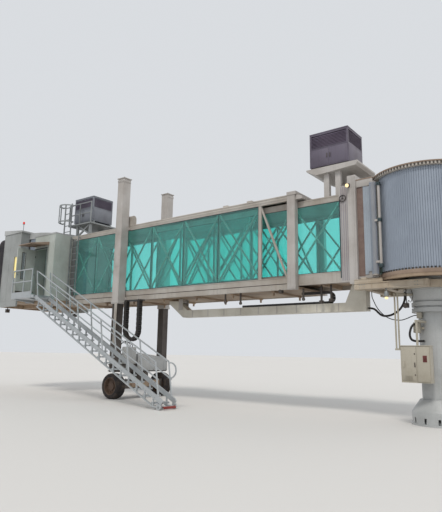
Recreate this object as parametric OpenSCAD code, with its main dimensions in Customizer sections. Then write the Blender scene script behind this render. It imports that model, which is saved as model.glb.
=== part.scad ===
// Jet bridge in the row frame: origin at ground level under the rotunda, +X along the tunnels
// to the cab, +Y to the service stair, +Z up. All sizes in millimetres.

/* [Rotunda] */
// Radius of the round trunk of the pedestal
trunk_r = 400; // [300:10:520]
// Outer radius of the pedestal's base flange
base_r = 720; // [620:10:900]
// Number of anchor bolts in the base flange
anchor_count = 12; // [8:4:16]
// Radius of one anchor bolt hole
anchor_hole_r = 18; // [12:1:24]
// Outer radius of the rotunda's slat curtain
drum_r = 1410; // [1300:10:1700]
// Overhang of the roof beyond the slat curtain
roof_lip = 90; // [40:10:160]
// Height of the rotunda floor above the ground
floor_z = 4000; // [3400:50:4600]
// Clear height from the rotunda floor to the underside of its roof
drum_h = 2760; // [2500:20:3000]
// Thickness of the roof disc
roof_t = 100; // [60:10:160]

/* [Swing throat] */
// Clearance between the inner tunnel's sides and the throat walls
throat_gap = 50; // [30:5:70]
// Start of the portal posts along the tunnel
portal_x = 1700; // [1650:10:1900]
// Length of the portal posts along the tunnel
portal_len = 250; // [150:10:300]
// Length of the ribbed panels behind the portal
rib_len = 310; // [200:10:400]
// Height of the portal's top above the ground
portal_top = 7000; // [6900:20:7200]
// Radius of the pitch pins
pin_r = 30; // [20:1:45]
// Running clearance round the pitch pins
pin_gap = 0.3; // [0.3:0.1:2]

/* [Inner tunnel] */
// Half the outer width of the inner tunnel
a_half = 880; // [860:10:900]
// Inner end of the inner tunnel
a_start = 1620; // [1600:10:1700]
// Outer end of the inner tunnel
a_end = 9900; // [9000:100:10400]
// Underside of the inner tunnel
a_bottom = 3860; // [3850:5:3900]
// Top of the inner tunnel's roof
a_top = 6550; // [6400:10:6560]

/* [Outer tunnel] */
// Clearance between the inner tunnel's sides and the outer tunnel's sides
tunnel_gap = 100; // [80:5:140]
// Inner end of the outer tunnel
b_start = 3700; // [3700:20:4200]
// Outer end of the glazed outer tunnel
b_end = 15000; // [14000:100:16000]
// Underside of the outer tunnel
b_bottom = 3740; // [3700:5:3740]
// Top of the outer tunnel's roof
b_top = 6750; // [6700:10:6900]
// Width of one square bracing bar
brace_w = 50; // [40:5:80]

/* [Air conditioning] */
// Length of one air conditioning unit along the tunnel
ac_len = 1300; // [1000:20:1500]
// Width of one air conditioning unit
ac_wide = 1110; // [900:10:1300]
// Height of one air conditioning unit
ac_high = 1130; // [900:10:1300]

/* [Lift and wheels] */
// Distance of the lift columns from the rotunda's axis
lift_x = 11500; // [11000:50:12500]
// Clearance between the outer tunnel's sides and the lift columns
column_gap = 50; // [40:5:120]
// Outer width of the square column tube
column_w = 360; // [320:5:400]
// Top of the column tube
column_top = 8700; // [8000:50:9200]
// Radius of a drive wheel
wheel_r = 475; // [420:5:520]
// Width of a drive wheel
wheel_w = 400; // [300:10:450]

/* [Service landing and stair] */
// Side face of the vestibule
vest_y = 1940; // [1800:10:2100]
// Outer end of the vestibule
vest_end = 16500; // [16300:20:16520]
// Start of the service doorway along the tunnel
door_x0 = 15500; // [15400:20:15600]
// Width of the service doorway
door_w = 900; // [800:10:900]
// Height of the service doorway
door_h = 2150; // [2000:10:2200]
// Outer edge of the landing
landing_y = 2900; // [2900:10:3000]
// Height of the guard rails
rail_h = 1100; // [1000:10:1200]
// Number of treads in the service stair
tread_count = 18; // [14:1:22]
// Distance of the stair's foot from the rotunda's axis
stair_foot_x = 7500; // [7200:50:8200]

/* [Cab] */
// Distance of the cab's turning axis from the rotunda's axis
cab_x = 17600; // [17550:10:17700]
// Half the outer width of the cab
cab_half = 2040; // [1960:10:2100]
// Radius of the round back part of the cab's floor
cab_disc_r = 1190; // [1100:10:1190]
// Front end of the cab's side walls
cab_front = 18900; // [18700:50:19800]
// Height of the cab's roof edge
cab_top = 7200; // [7000:20:7400]
// Depth of the folding canopy
canopy_d = 700; // [400:20:1000]

/* [Hidden] */
$fn = 48;
drum_bottom = floor_z + 60;
drum_top = floor_z + drum_h;
roof_r = drum_r + roof_lip;
wall_t = 60;
gap = 10;
hub_r = 700;
ring_r = 900;
seat = 0.3;
head_z = 3590;
ring_z0 = head_z + seat;
ring_z1 = 3780;
disc_r = drum_r + 20;
throat_r = disc_r + gap;
pitch_x = 1780;
pitch_z = 3950;
anchor_pcd = 2 * (base_r - 90);
curtain_half_angle = 42;
terminal_half_angle = 40;
terminal_x = -1750;
terminal_half = 970;
terminal_bolt_r = 9;
throat_half = a_half + throat_gap;
rib_end = portal_x + portal_len + rib_len;
a_side_in = a_half - 70;
a_floor_z = a_bottom + 200;
a_chord_z = a_bottom + 340;
a_eave_z = a_top - 200;
a_posts = [a_start, 2260, 3860, 5460, 7060, 8660, a_end - 60];
throat_top = drum_top - 60;
roller_x = 1180;
roller_r = 82;
roller_y = throat_half + 155;
b_side_in = a_half + tunnel_gap;
b_half = b_side_in + 70;
lift_y = b_half + column_gap + column_w / 2;
b_deck_z = b_bottom + 100;
b_chord_z = 4130;
b_eave_z = 6580;
b_roof_z = 6690;
b_portal_len = 290;
b_bay_x = b_start + b_portal_len;
b_first_post = 4980;
b_posts = [b_first_post, 6720, 8335, 9975, 11615, 13275, b_end - 110];
post_w = 110;
vest_top = 6830;
vest_floor_z = 3960;
door_x1 = door_x0 + door_w;
door_z0 = floor_z;
door_z1 = door_z0 + door_h;
landing_x0 = 14800;
landing_x1 = 16460;
landing_z = 4000;
stair_y0 = 2200;
stair_y1 = 2860;
stair_foot_z = 260;
stair_pin_x = 14720;
stair_pin_z = 3900;
stair_slope = atan2(stair_pin_z - stair_foot_z, stair_pin_x - stair_foot_x);
foot_wheel_r = 90;
kingpin_r = 90;
axle_r = 60;
ac_inner_x = 2000;
ac_inner_y = -310;
ac_outer_x = 14060;
ac_outer_y = -330;
tray_x0 = ac_inner_x - 360;
tray_x1 = ac_inner_x + ac_len + 30;
tray_y0 = ac_inner_y - 110;
tray_y1 = throat_half + 70;
tray_z = a_top + 880;
platform_x0 = ac_outer_x - 160;
platform_x1 = ac_outer_x + ac_len + 120;
platform_y0 = ac_outer_y - 170;
platform_y1 = b_half - 50;
platform_z = b_top + 550;
ladder_x = b_end + 275;
ladder_y = b_half + 140;
cage_r = 400;
cage_z = vest_top + 570;
cage_h = 800;
ac_split = 640;
ac_fan_r = 380;
louvre_count = 8;
louvre_d = 40;
hood_r = 120;
slit_x0 = 17650;
slit_x1 = 17950;
slit_z0 = 5000;
slit_z1 = 6000;
cab_rear = cab_x - 100;
cab_drum_r = 1540;
cab_floor_z = 3960;
neck_x = 16390;
conduit_r = 22;
stair_pin_r = 15;
column_in = column_w / 2 - 12;
inner_w = 300;
beam_z0 = 1000;
beam_z1 = 1300;
pad_h = 150;
// Route points of the hanging cables, from their exits to their far ends
power_route = [
  [1749.7, 250, 3140], [1700, 250, 3140], [1590, 250, 3115], [1500, 250, 3045], [1460, 250, 3000],
  [1365, 250, 2925], [1250, 250, 2900], [1100, 250, 2920], [965, 250, 2980], [845, 250, 3070],
  [755, 250, 3185], [695, 250, 3325], [677, 250, 3470], [677, 250, 3549.7]];
power_d = 60;
control_route = [
  [1500, 600, 3590], [1500, 600, 3440], [1450, 600, 3295], [1385, 600, 3155],
  [1300, 595, 3025], [1195, 595, 2915], [1070, 585, 2825], [925, 580, 2770], [760, 570, 2750],
  [685, 555, 2755], [620, 530, 2775], [565, 490, 2800], [515, 455, 2830], [465, 420, 2855],
  [405, 385, 2880], [330.3, 385, 2880]];
control_d = 25;

function tread_x(i) = stair_foot_x + 330 + i * (stair_pin_x - stair_foot_x - 560) / (tread_count - 1);
function stair_z(x) = stair_pin_z - (stair_pin_x - x) * tan(stair_slope);

module block(x0, x1, y0, y1, z0, z1) {
  translate([x0, y0, z0]) cube([x1 - x0, y1 - y0, z1 - z0]);
}

module both_sides() {
  children();
  mirror([0, 1, 0]) children();
}

module upright(y0, y1) {
  translate([0, y1, 0]) rotate([90, 0, 0]) linear_extrude(y1 - y0) children();
}

module strip(a, b, w) {
  d = (b - a) / norm(b - a);
  n = [-d[1], d[0]] * w / 2;
  polygon([a + n, a - n, b - n, b + n]);
}

module panel(x0, x1, z0, z1) {
  translate([x0, z0]) square([x1 - x0, z1 - z0]);
}

module tube_between(a, b, r) {
  v = b - a;
  l = norm(v);
  translate(a) rotate([0, acos(v[2] / l), atan2(v[1], v[0])]) cylinder(h = l, r = r, $fn = 12);
}

module arc_wall(r0, r1, a0, a1, z0, z1) {
  rotate([0, 0, a0]) translate([0, 0, z0]) rotate_extrude(angle = a1 - a0, $fn = 96)
    translate([r0, 0]) square([r1 - r0, z1 - z0]);
}

function frame_at(route, i) =
  let(n = len(route) - 1,
      d = i == 0 ? route[1] - route[0] : i == n ? route[n] - route[n - 1] : route[i + 1] - route[i - 1],
      t = d / norm(d),
      s = cross(t, [0.3, 1, 0.2]),
      u = s / norm(s))
  [u, cross(t, u)];

module cable(route, r) {
  sides = 10;
  n = len(route);
  points = [for (i = [0:n - 1]) for (k = [0:sides - 1])
    let(f = frame_at(route, i)) route[i] + r * (f[0] * cos(k * 360 / sides) + f[1] * sin(k * 360 / sides))];
  faces = concat(
    [[for (k = [0:sides - 1]) k]],
    [for (i = [0:n - 2]) for (k = [0:sides - 1])
      [i * sides + k, (i + 1) * sides + k, (i + 1) * sides + (k + 1) % sides]],
    [for (i = [0:n - 2]) for (k = [0:sides - 1])
      [i * sides + k, (i + 1) * sides + (k + 1) % sides, i * sides + (k + 1) % sides]],
    [[for (k = [sides - 1:-1:0]) (n - 1) * sides + k]]);
  polyhedron(points, faces);
}

module pedestal() {
  color([0.66, 0.67, 0.68]) difference() {
    union() {
      cylinder(h = 40, r = base_r, $fn = 96);
      translate([0, 0, 40]) cylinder(h = 630, r1 = trunk_r + 110, r2 = trunk_r, $fn = 96);
      translate([0, 0, 670]) cylinder(h = 2310, r = trunk_r, $fn = 96);
      translate([0, 0, 2970]) cylinder(h = 110, r = 560, $fn = 96);
      translate([0, 0, 3080]) cylinder(h = 50, r = 500, $fn = 96);
      translate([0, 0, 3130]) cylinder(h = 110, r = 560, $fn = 96);
      translate([0, 0, 3240]) cylinder(h = head_z - 3240, r1 = 500, r2 = hub_r, $fn = 96);
      translate([0, 0, head_z - 40]) cylinder(h = 40, r = hub_r + 60, $fn = 96);
      translate([0, 0, head_z]) cylinder(h = floor_z - 100 - head_z, r = hub_r, $fn = 96);
    }
    for (i = [0:anchor_count - 1])
      rotate([0, 0, (i + 0.5) * 360 / anchor_count]) translate([anchor_pcd / 2, 0, -5])
        cylinder(h = 50, r = anchor_hole_r, $fn = 32);
  }
}

module control_cabinet() {
  color([0.62, 0.6, 0.54]) difference() {
    union() {
      block(-100, 660, 640, 900, 1100, 2040);
      for (z = [1250, 1800]) block(0, 120, trunk_r - 60, 641, z, z + 80);
      block(-110, 670, 630, 915, 2040, 2060);
    }
    cylinder(h = 3000, r = trunk_r, $fn = 96);
  }
  color([0.5, 0.12, 0.1]) block(560, 600, 900, 930, 1500, 1640);
}

module cabinet_conduits() {
  color([0.62, 0.6, 0.5]) {
    difference() {
      for (x = [700, 780]) {
        translate([x, 830, 1960]) cylinder(h = 1490, r = conduit_r, $fn = 24);
        tube_between([x + 20, 854, 3450], [x - 400, 356, 3450], conduit_r + 6);
      }
      translate([0, 0, 3240]) cylinder(h = head_z - 3240, r1 = 500, r2 = hub_r, $fn = 96);
    }
    block(660, 815, 800, 860, 1930, 1980);
    difference() {
      union() {
        translate([250, 760, 2060]) cylinder(h = 640, r = conduit_r + 8, $fn = 24);
        tube_between([262, 790, 2700], [100, 300, 2700], conduit_r + 14);
      }
      translate([0, 0, 2500]) cylinder(h = 400, r = trunk_r, $fn = 96);
    }
    difference() {
      block(200, 330, 330, 440, 2800, 2960);
      translate([0, 0, 2500]) cylinder(h = 500, r = trunk_r, $fn = 96);
    }
  }
}

module rotunda_floor() {
  color([0.5, 0.42, 0.36]) union() {
    translate([0, 0, floor_z - 100]) cylinder(h = 100, r = disc_r, $fn = 96);
    arc_wall(disc_r - 130, disc_r, 0, 360, floor_z - 180, floor_z - 99);
    block(terminal_x, -1000, -terminal_half, terminal_half, floor_z - 100, floor_z);
  }
}

module rotunda_roof() {
  color([0.59, 0.5, 0.42]) union() {
    translate([0, 0, drum_top]) cylinder(h = roof_t, r = roof_r, $fn = 96);
    translate([0, 0, drum_top + roof_t]) cylinder(h = 90, r1 = roof_r - 60, r2 = 200, $fn = 96);
  }
}

module rotunda_curtains() {
  color([0.52, 0.56, 0.6]) both_sides()
    arc_wall(drum_r - 30, drum_r, curtain_half_angle, 180 - terminal_half_angle - 1, floor_z + seat, drum_top - seat);
}

module terminal_portal() {
  color([0.78, 0.76, 0.72]) difference() {
    union() {
      both_sides() block(terminal_x, -1120, terminal_half - wall_t, terminal_half, floor_z, drum_top);
      both_sides() block(terminal_x, terminal_x + 40, terminal_half - 1, terminal_half + 130, floor_z, drum_top + 80);
      both_sides() block(terminal_x, terminal_x + 40, terminal_half, terminal_half + 130, floor_z - 100, floor_z + 1);
      block(terminal_x, -1120, -terminal_half, terminal_half, drum_top - 100, drum_top);
      block(terminal_x, terminal_x + 40, -terminal_half - 130, terminal_half + 130, drum_top, drum_top + 80);
    }
    both_sides() for (z = [floor_z + 100, drum_top - 60]) translate([terminal_x - 10, terminal_half + 70, z])
      rotate([0, 90, 0]) cylinder(h = 60, r = terminal_bolt_r, $fn = 32);
  }
}

module swing_frame() {
  color([0.66, 0.56, 0.44]) union() {
    arc_wall(hub_r + 2, ring_r, 0, 360, ring_z0, ring_z1);
    both_sides() block(-200, 1800, throat_half - 50, throat_half + 200, ring_z0, ring_z1);
    block(860, 1040, -throat_half + 30, throat_half - 30, ring_z0, ring_z1);
    block(1440, 1590, -throat_half - 200, throat_half + 200, ring_z0, floor_z - 80);
    difference() {
      block(1080, 1600, -throat_half + 5, throat_half - 5, floor_z - 80, floor_z);
      translate([0, 0, floor_z - 90]) cylinder(h = 100, r = throat_r, $fn = 96);
    }
  }
}

module throat_portal() {
  color([0.8, 0.78, 0.74]) union() {
    both_sides() block(1120, portal_x + 1, throat_half, throat_half + wall_t, floor_z - 80, throat_top);
    both_sides() block(portal_x, portal_x + portal_len, throat_half, throat_half + 150, ring_z1, portal_top);
    both_sides() block(portal_x + portal_len - 1, rib_end, throat_half, throat_half + wall_t, a_bottom, b_top);
    block(portal_x, portal_x + portal_len, -throat_half - 150, throat_half + 150, throat_top - wall_t, portal_top);
    block(1200, portal_x + 1, -throat_half - wall_t, throat_half + wall_t, throat_top - wall_t, throat_top);
    both_sides() translate([pitch_x, throat_half + 1, pitch_z]) rotate([90, 0, 0])
      cylinder(h = throat_half + 1 - a_side_in + 5, r = pin_r, $fn = 48);
  }
}

module curtain_rollers() {
  color([0.74, 0.73, 0.7]) both_sides() {
    translate([roller_x, roller_y, floor_z - 40]) cylinder(h = drum_h - 40, r = roller_r, $fn = 48);
    block(roller_x - 30, roller_x + 220, throat_half + wall_t, throat_half + wall_t + 20, floor_z + 100, drum_top - 160);
    translate([roller_x - 195, roller_y + 65, floor_z + 200]) cylinder(h = drum_h - 400, r = 38, $fn = 32);
    for (z = [floor_z + 300, floor_z + 1480])
      block(roller_x - 195, roller_x - 50, roller_y + 50, roller_y + 80, z, z + 60);
  }
}

module tunnel_a_floor() {
  color([0.55, 0.5, 0.45]) union() {
    block(a_start, a_end, -a_side_in, a_side_in, a_floor_z - 60, a_floor_z);
    for (x = [a_start + 20 : 1380 : a_end - 100]) block(x, x + 80, -a_side_in, a_side_in, a_bottom, a_floor_z - 59);
  }
}

module tunnel_a_roof() {
  color([0.7, 0.68, 0.64]) block(a_start, a_end, -a_half, a_half, a_top - 100, a_top);
}

module braces(posts, w, z0, z1) {
  for (i = [0:len(posts) - 2]) {
    strip([posts[i] + w / 2, z0], [posts[i + 1] + w / 2, z1], brace_w);
    strip([posts[i] + w / 2, z1], [posts[i + 1] + w / 2, z0], brace_w);
  }
}

module tunnel_a_side() {
  difference() {
    union() {
      upright(a_side_in, a_half) {
        panel(a_start, a_end, a_bottom, a_chord_z);
        panel(a_start, a_end, a_eave_z, a_top - 100);
        panel(a_start, 2260, a_chord_z - 1, a_eave_z + 1);
      }
      upright(a_side_in, a_half - 20) {
        for (x = a_posts) panel(x, x + 60, a_chord_z - 1, a_eave_z + 1);
        braces([for (i = [1:len(a_posts) - 1]) a_posts[i]], 60, a_chord_z, a_eave_z);
      }
    }
    translate([pitch_x, a_half + 5, pitch_z]) rotate([90, 0, 0]) cylinder(h = 90, r = pin_r + pin_gap, $fn = 48);
  }
}

module tunnel_a_side_near() {
  color([0.72, 0.7, 0.66]) tunnel_a_side();
}

module tunnel_a_side_far() {
  color([0.72, 0.7, 0.66]) mirror([0, 1, 0]) tunnel_a_side();
}

module tunnel_a_glass() {
  color([0.1, 0.7, 0.65, 0.6]) both_sides() block(2262, a_end, a_half - 16, a_half - 6, a_chord_z, a_eave_z);
}

module cable_trough() {
  color([0.8, 0.78, 0.74]) upright(100, 420) {
    polygon([[1750, 3060], [8850, 3060], [9560, 3600], [9560, 3680], [9130, 3680], [8640, 3320], [2390, 3320],
      [2100, a_floor_z - 60], [1750, a_floor_z - 60]]);
  }
}

module energy_chain() {
  color([0.08, 0.08, 0.08]) upright(180, 340) {
    difference() {
      union() {
        translate([3000, 3520]) circle(r = 200, $fn = 48);
        panel(3000, 3900, 3320, 3720);
        panel(3899, 6200, 3320, 3400);
      }
      translate([3000, 3520]) circle(r = 120, $fn = 48);
      panel(3000, 3910, 3400, 3640);
    }
  }
}

module louvre_bank(len, high, depth) {
  pitch = (high - 40) / louvre_count;
  for (i = [0:louvre_count - 1]) translate([0, 0, 20 + i * pitch]) rotate([90, 0, 90]) linear_extrude(len)
    polygon([[0, 0], [0, 12], [-depth - 1, pitch * 0.8], [-depth - 1, pitch * 0.8 - 12]]);
}

module ac_unit(x, y, z) {
  translate([x, y, z]) difference() {
    block(0, ac_len, 0, ac_wide, 0, ac_high);
    block(60, ac_len - 60, ac_wide - louvre_d, ac_wide + 1, ac_split, ac_high - 80);
    block(60, ac_len - 60, -1, louvre_d, ac_split, ac_high - 80);
    block(-1, louvre_d, 60, ac_wide - 60, ac_split, ac_high - 80);
    block(-1, ac_len + 1, ac_wide - 6, ac_wide + 1, ac_split - 60, ac_split - 45);
    translate([ac_len / 2, ac_wide / 2, ac_high - 40]) cylinder(h = 50, r = ac_fan_r, $fn = 64);
  }
  translate([x + 59, y + ac_wide, z + ac_split]) louvre_bank(ac_len - 118, ac_high - 80 - ac_split, louvre_d);
  translate([x + ac_len - 59, y, z + ac_split]) rotate([0, 0, 180]) louvre_bank(ac_len - 118, ac_high - 80 - ac_split, louvre_d);
  translate([x, y + 59, z + ac_split]) rotate([0, 0, 90]) louvre_bank(ac_wide - 118, ac_high - 80 - ac_split, louvre_d);
  translate([x + ac_len / 2, y + ac_wide / 2, z + ac_high - 41]) cylinder(h = 36, r = 90, $fn = 32);
  for (a = [0:60:120]) translate([x + ac_len / 2, y + ac_wide / 2, z + ac_high - 30]) rotate([0, 0, a])
    block(-ac_fan_r - 1, ac_fan_r + 1, -8, 8, 0, 20);
}

module ac_unit_inner() {
  color([0.38, 0.36, 0.42]) union() ac_unit(ac_inner_x, ac_inner_y, tray_z + 170);
}

module ac_tray_inner() {
  color([0.8, 0.78, 0.74]) union() {
    block(tray_x0, tray_x1, tray_y0, tray_y1, tray_z, tray_z + 50);
    difference() {
      upright(tray_y0, tray_y1) polygon([[tray_x0, tray_z], [tray_x0 + 60, tray_z - 90], [tray_x1 - 330, tray_z - 170],
        [tray_x1, tray_z + 1], [tray_x0, tray_z + 1]]);
      upright(tray_y0 + 40, tray_y1 - 40) polygon([[tray_x0 + 100, tray_z + 1], [tray_x0 + 120, tray_z - 50],
        [tray_x1 - 370, tray_z - 130], [tray_x1 - 90, tray_z + 1]]);
    }
    for (y = [tray_y0 + 60, tray_y1 - 260]) for (x = [ac_inner_x + 240, ac_inner_x + 620])
      block(x, x + 170, y, y + 140, a_top, tray_z + 1);
    for (y = [ac_inner_y + 10, ac_inner_y + ac_wide - 160])
      block(ac_inner_x, ac_inner_x + ac_len, y, y + 80, tray_z + 49, tray_z + 170);
  }
}

module tunnel_b_floor() {
  color([0.52, 0.46, 0.42]) union() {
    block(b_start, b_bay_x + 1, -a_half - 25, a_half + 25, b_bottom + 20, b_deck_z);
    block(b_bay_x, b_end, -b_side_in, b_side_in, b_bottom + 20, b_deck_z);
    both_sides() block(b_start + 60, b_start + 260, a_side_in + 5, a_half - 5, b_deck_z - 1, a_bottom - seat);
  }
}

module tunnel_b_roof() {
  color([0.72, 0.7, 0.66]) union() {
    block(b_bay_x, b_end, -b_half, b_half, b_roof_z, b_top);
    both_sides() block(b_bay_x, b_end, b_half - 60, b_half + 20, b_top - 1, b_top + 30);
    block(lift_x - 275, lift_x + 265, b_half - 30 - 2 * hood_r, b_half - 30, b_top - 1, b_top + 350);
    translate([lift_x - 275, b_half - 30 - hood_r, b_top + 350]) rotate([0, 90, 0]) cylinder(h = 540, r = hood_r, $fn = 64);
    for (x = [5530, 6550]) block(x - 100, x + 100, b_half - 240, b_half - 90, b_top - 1, b_top + 120);
  }
}

module tunnel_b_portal() {
  color([0.8, 0.78, 0.74]) union() {
    both_sides() block(b_start, b_bay_x, a_half + 25, b_half + 40, b_bottom, b_top);
    block(b_start, b_bay_x, -b_half - 40, b_half + 40, a_top + 40, b_top);
    block(b_start - 40, b_bay_x, -b_half - 60, b_half + 60, b_top, b_top + 110);
    both_sides() upright(a_half + 25, b_half)
      polygon([[b_start + 1, b_top - 10], [b_start + 1, b_top - 160], [b_start - 240, b_top - 130], [b_start - 240, b_top - 100]]);
    difference() {
      block(b_start - 240, b_start + 1, -b_half, b_half, a_top + 45, b_top - 10);
      translate([b_start - 300, -b_half - 10, b_top - 98]) rotate([0, -21, 0]) cube([400, 2 * b_half + 20, 300]);
    }
  }
}

module tunnel_b_side() {
  union() {
    upright(b_side_in, b_half) {
      panel(b_bay_x, b_end, b_bottom, b_chord_z);
      panel(b_bay_x, b_end, b_eave_z, b_roof_z);
      panel(b_first_post, b_first_post + post_w, b_chord_z - 1, b_eave_z + 1);
      panel(b_end - post_w, b_end, b_chord_z - 1, b_eave_z + 1);
    }
    upright(b_side_in, b_half - 20) {
      for (x = b_posts) panel(x, x + 90, b_chord_z - 1, b_eave_z + 1);
      braces(b_posts, 90, b_chord_z, b_eave_z);
      strip([b_bay_x + 50, b_chord_z], [b_first_post + 45, b_eave_z], brace_w + 10);
    }
  }
}

module tunnel_b_side_near() {
  color([0.72, 0.7, 0.66]) tunnel_b_side();
}

module tunnel_b_side_far() {
  color([0.72, 0.7, 0.66]) mirror([0, 1, 0]) tunnel_b_side();
}

module tunnel_b_glass() {
  color([0.1, 0.72, 0.66, 0.6]) both_sides()
    block(b_first_post + post_w, b_end - post_w, b_half - 16, b_half - 6, b_chord_z, b_eave_z);
}

module lift_column_shells() {
  color([0.8, 0.78, 0.74]) both_sides() {
    difference() {
      translate([lift_x - column_w / 2, lift_y - column_w / 2, 3600]) cube([column_w, column_w, column_top - 3600]);
      translate([lift_x - column_in, lift_y - column_in, 3590]) cube([2 * column_in, 2 * column_in, column_top - 3600]);
    }
    block(lift_x - 210, lift_x + 210, lift_y - 210, lift_y + 210, column_top - 1, column_top + 30);
    translate([lift_x, lift_y, column_top + 29]) rotate([0, 0, 45]) cylinder(h = 70, r1 = 270, r2 = 20, $fn = 4);
    for (z = [3780, 6600]) block(lift_x - 260, lift_x + 260, b_half, lift_y - column_w / 2 + 1, z, z + 90);
    block(lift_x + 180, lift_x + 260, b_half, lift_y, 3780, 6690);
  }
}

module ac_unit_outer() {
  color([0.38, 0.36, 0.42]) union() ac_unit(ac_outer_x, ac_outer_y, platform_z + 180);
}

module ac_platform_outer() {
  color([0.78, 0.76, 0.72]) union() {
    block(platform_x0, platform_x1, platform_y0, platform_y1, platform_z, platform_z + 60);
    for (y = [platform_y0 + 100, platform_y1 - 180]) for (x = [platform_x0 + 100, b_end - 120])
      block(x, x + 100, y, y + 100, b_top, platform_z + 1);
    for (y = [ac_outer_y + 30, ac_outer_y + ac_wide - 140])
      block(ac_outer_x, ac_outer_x + ac_len, y, y + 80, platform_z + 59, platform_z + 180);
    for (y = [platform_y0 + 100, platform_y1 - 180]) upright(y + 20, y + 80) {
      strip([platform_x0 + 150, b_top + 60], [b_end - 100, platform_z + 10], 60);
      strip([platform_x0 + 150, platform_z + 10], [b_end - 100, b_top + 60], 60);
    }
    platform_rails();
  }
}

module platform_rails() {
  for (x = [platform_x0 + 20, (platform_x0 + platform_x1) / 2, platform_x1 - 40])
    block(x, x + 40, platform_y1 - 50, platform_y1 - 10, platform_z + 59, platform_z + 1000);
  for (z = [platform_z + 480, platform_z + 960])
    block(platform_x0 + 20, platform_x1, platform_y1 - 50, platform_y1 - 10, z, z + 40);
}

module access_ladder() {
  color([0.7, 0.72, 0.72]) union() {
    for (x = [ladder_x - 255, ladder_x + 205]) block(x, x + 50, ladder_y - 30, ladder_y + 10, vest_top, platform_z + 1000);
    for (z = [vest_top + 170 : 280 : platform_z + 850]) block(ladder_x - 254, ladder_x + 254, ladder_y - 25, ladder_y + 5, z, z + 30);
    for (z = [cage_z, cage_z + cage_h - 50]) {
      translate([ladder_x, ladder_y, z]) difference() {
        cylinder(h = 50, r = cage_r, $fn = 32);
        translate([0, 0, -1]) cylinder(h = 52, r = cage_r - 28, $fn = 32);
        translate([-500, -500, -1]) cube([1000, 500, 52]);
      }
      for (x = [ladder_x - cage_r, ladder_x + 254]) block(x, x + cage_r - 254, ladder_y - 25, ladder_y + 10, z, z + 50);
    }
    for (a = [18:36:162]) translate([ladder_x + (cage_r - 14) * cos(a), ladder_y + (cage_r - 14) * sin(a), cage_z])
      translate([-14, -14, 0]) cube([28, 28, cage_h]);
  }
}

module vestibule_floor() {
  color([0.5, 0.42, 0.36]) union() {
    block(b_end, neck_x, -b_half, b_half, b_bottom + 20, vest_floor_z - 60);
    block(b_end, vest_end, b_half - 1, vest_y, b_bottom + 20, vest_floor_z - 60);
    block(b_end, neck_x, -b_half + 70, b_half - 70, vest_floor_z - 61, vest_floor_z);
    block(b_end + 60, neck_x, b_half - 71, vest_y - 60, vest_floor_z - 61, vest_floor_z);
    difference() {
      translate([cab_x, 0, cab_floor_z - 160]) cylinder(h = 60, r = cab_drum_r + 60, $fn = 192);
      translate([cab_x, 0, cab_floor_z - 170]) cylinder(h = 80, r = cab_disc_r + gap, $fn = 192);
      block(cab_x - 450, cab_x + 2000, -2000, 2000, 3000, 4500);
    }
    block(neck_x - 200, cab_x + 250, -300, 300, 3600, b_bottom + 20);
    block(neck_x - 200, neck_x - 1, -300, 300, b_bottom + 19, b_bottom + 60);
    translate([cab_x, 0, b_bottom + 19]) cylinder(h = cab_floor_z - 160 - b_bottom - 19, r = 350, $fn = 64);
    translate([cab_x, 0, cab_floor_z - 161]) cylinder(h = 120, r = kingpin_r, $fn = 64);
  }
}

module vestibule_walls() {
  color([0.6, 0.61, 0.6]) {
    difference() {
      union() {
        block(b_end, vest_end, vest_y - 60, vest_y, vest_floor_z - 60, vest_top - 60);
        block(b_end, b_end + 60, b_half, vest_y - 59, vest_floor_z - 60, vest_top - 60);
        block(vest_end - 60, vest_end, b_half + 60, vest_y - 59, vest_floor_z - 60, vest_top - 60);
      }
      block(door_x0, door_x1, vest_y - 70, vest_y + 10, door_z0, door_z1);
    }
    block(door_x1 - 45, door_x1 - 5, vest_y, vest_y + 52, door_z1 - 8 + seat, door_z1 + 40);
    block(b_end, neck_x, -b_half, -b_half + 70, vest_floor_z - 60, vest_top - 60);
  }
}

module vestibule_roof() {
  color([0.66, 0.65, 0.62]) union() {
    block(b_end, neck_x, -b_half, b_half, vest_top - 60, vest_top - 10);
    block(b_end, vest_end + 20, b_half - 1, vest_y + 20, vest_top - 60, vest_top);
  }
}

module door_awning() {
  color([0.6, 0.55, 0.5]) translate([door_x0 - 80, vest_y, 0]) rotate([90, 0, 90]) linear_extrude(door_w + 110)
    polygon([[0, 6440], [0, 6320], [820, 6230], [820, 6270]]);
}

module landing() {
  color([0.58, 0.62, 0.66]) union() {
    block(landing_x0, landing_x1, vest_y, landing_y, landing_z - 120, landing_z);
    for (x = [b_end + 100, vest_end - 300]) translate([x, 0, 0]) rotate([90, 0, 90]) linear_extrude(80)
      polygon([[vest_y, landing_z - 121], [vest_y, landing_z - 240], [landing_y - 40, landing_z - 160], [landing_y - 40, landing_z - 119]]);
    for (y = [stair_y0 + 60, stair_y1 - 90]) upright(y, y + 30) {
      panel(stair_pin_x, landing_x0 + 1, stair_pin_z - 25, stair_pin_z + 25);
      translate([stair_pin_x, stair_pin_z]) circle(r = 35);
    }
    translate([stair_pin_x, stair_y1 + 10, stair_pin_z]) rotate([90, 0, 0]) cylinder(h = stair_y1 - stair_y0 + 20, r = stair_pin_r, $fn = 32);
  }
}

module landing_railing() {
  color([0.62, 0.66, 0.7]) union() {
    for (x = [landing_x0 + 200, 15600, landing_x1 - 40]) block(x, x + 40, landing_y - 40, landing_y, landing_z, landing_z + rail_h);
    block(landing_x1 - 40, landing_x1, vest_y + 40, vest_y + 80, landing_z, landing_z + rail_h);
    for (z = [landing_z + 560, landing_z + rail_h - 40]) {
      block(landing_x0 + 200, landing_x1, landing_y - 40, landing_y, z, z + 40);
      block(landing_x1 - 40, landing_x1, vest_y + 40, landing_y, z, z + 40);
    }
    block(landing_x0 + 200, landing_x1, landing_y - 12, landing_y, landing_z, landing_z + 150);
  }
}

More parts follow.
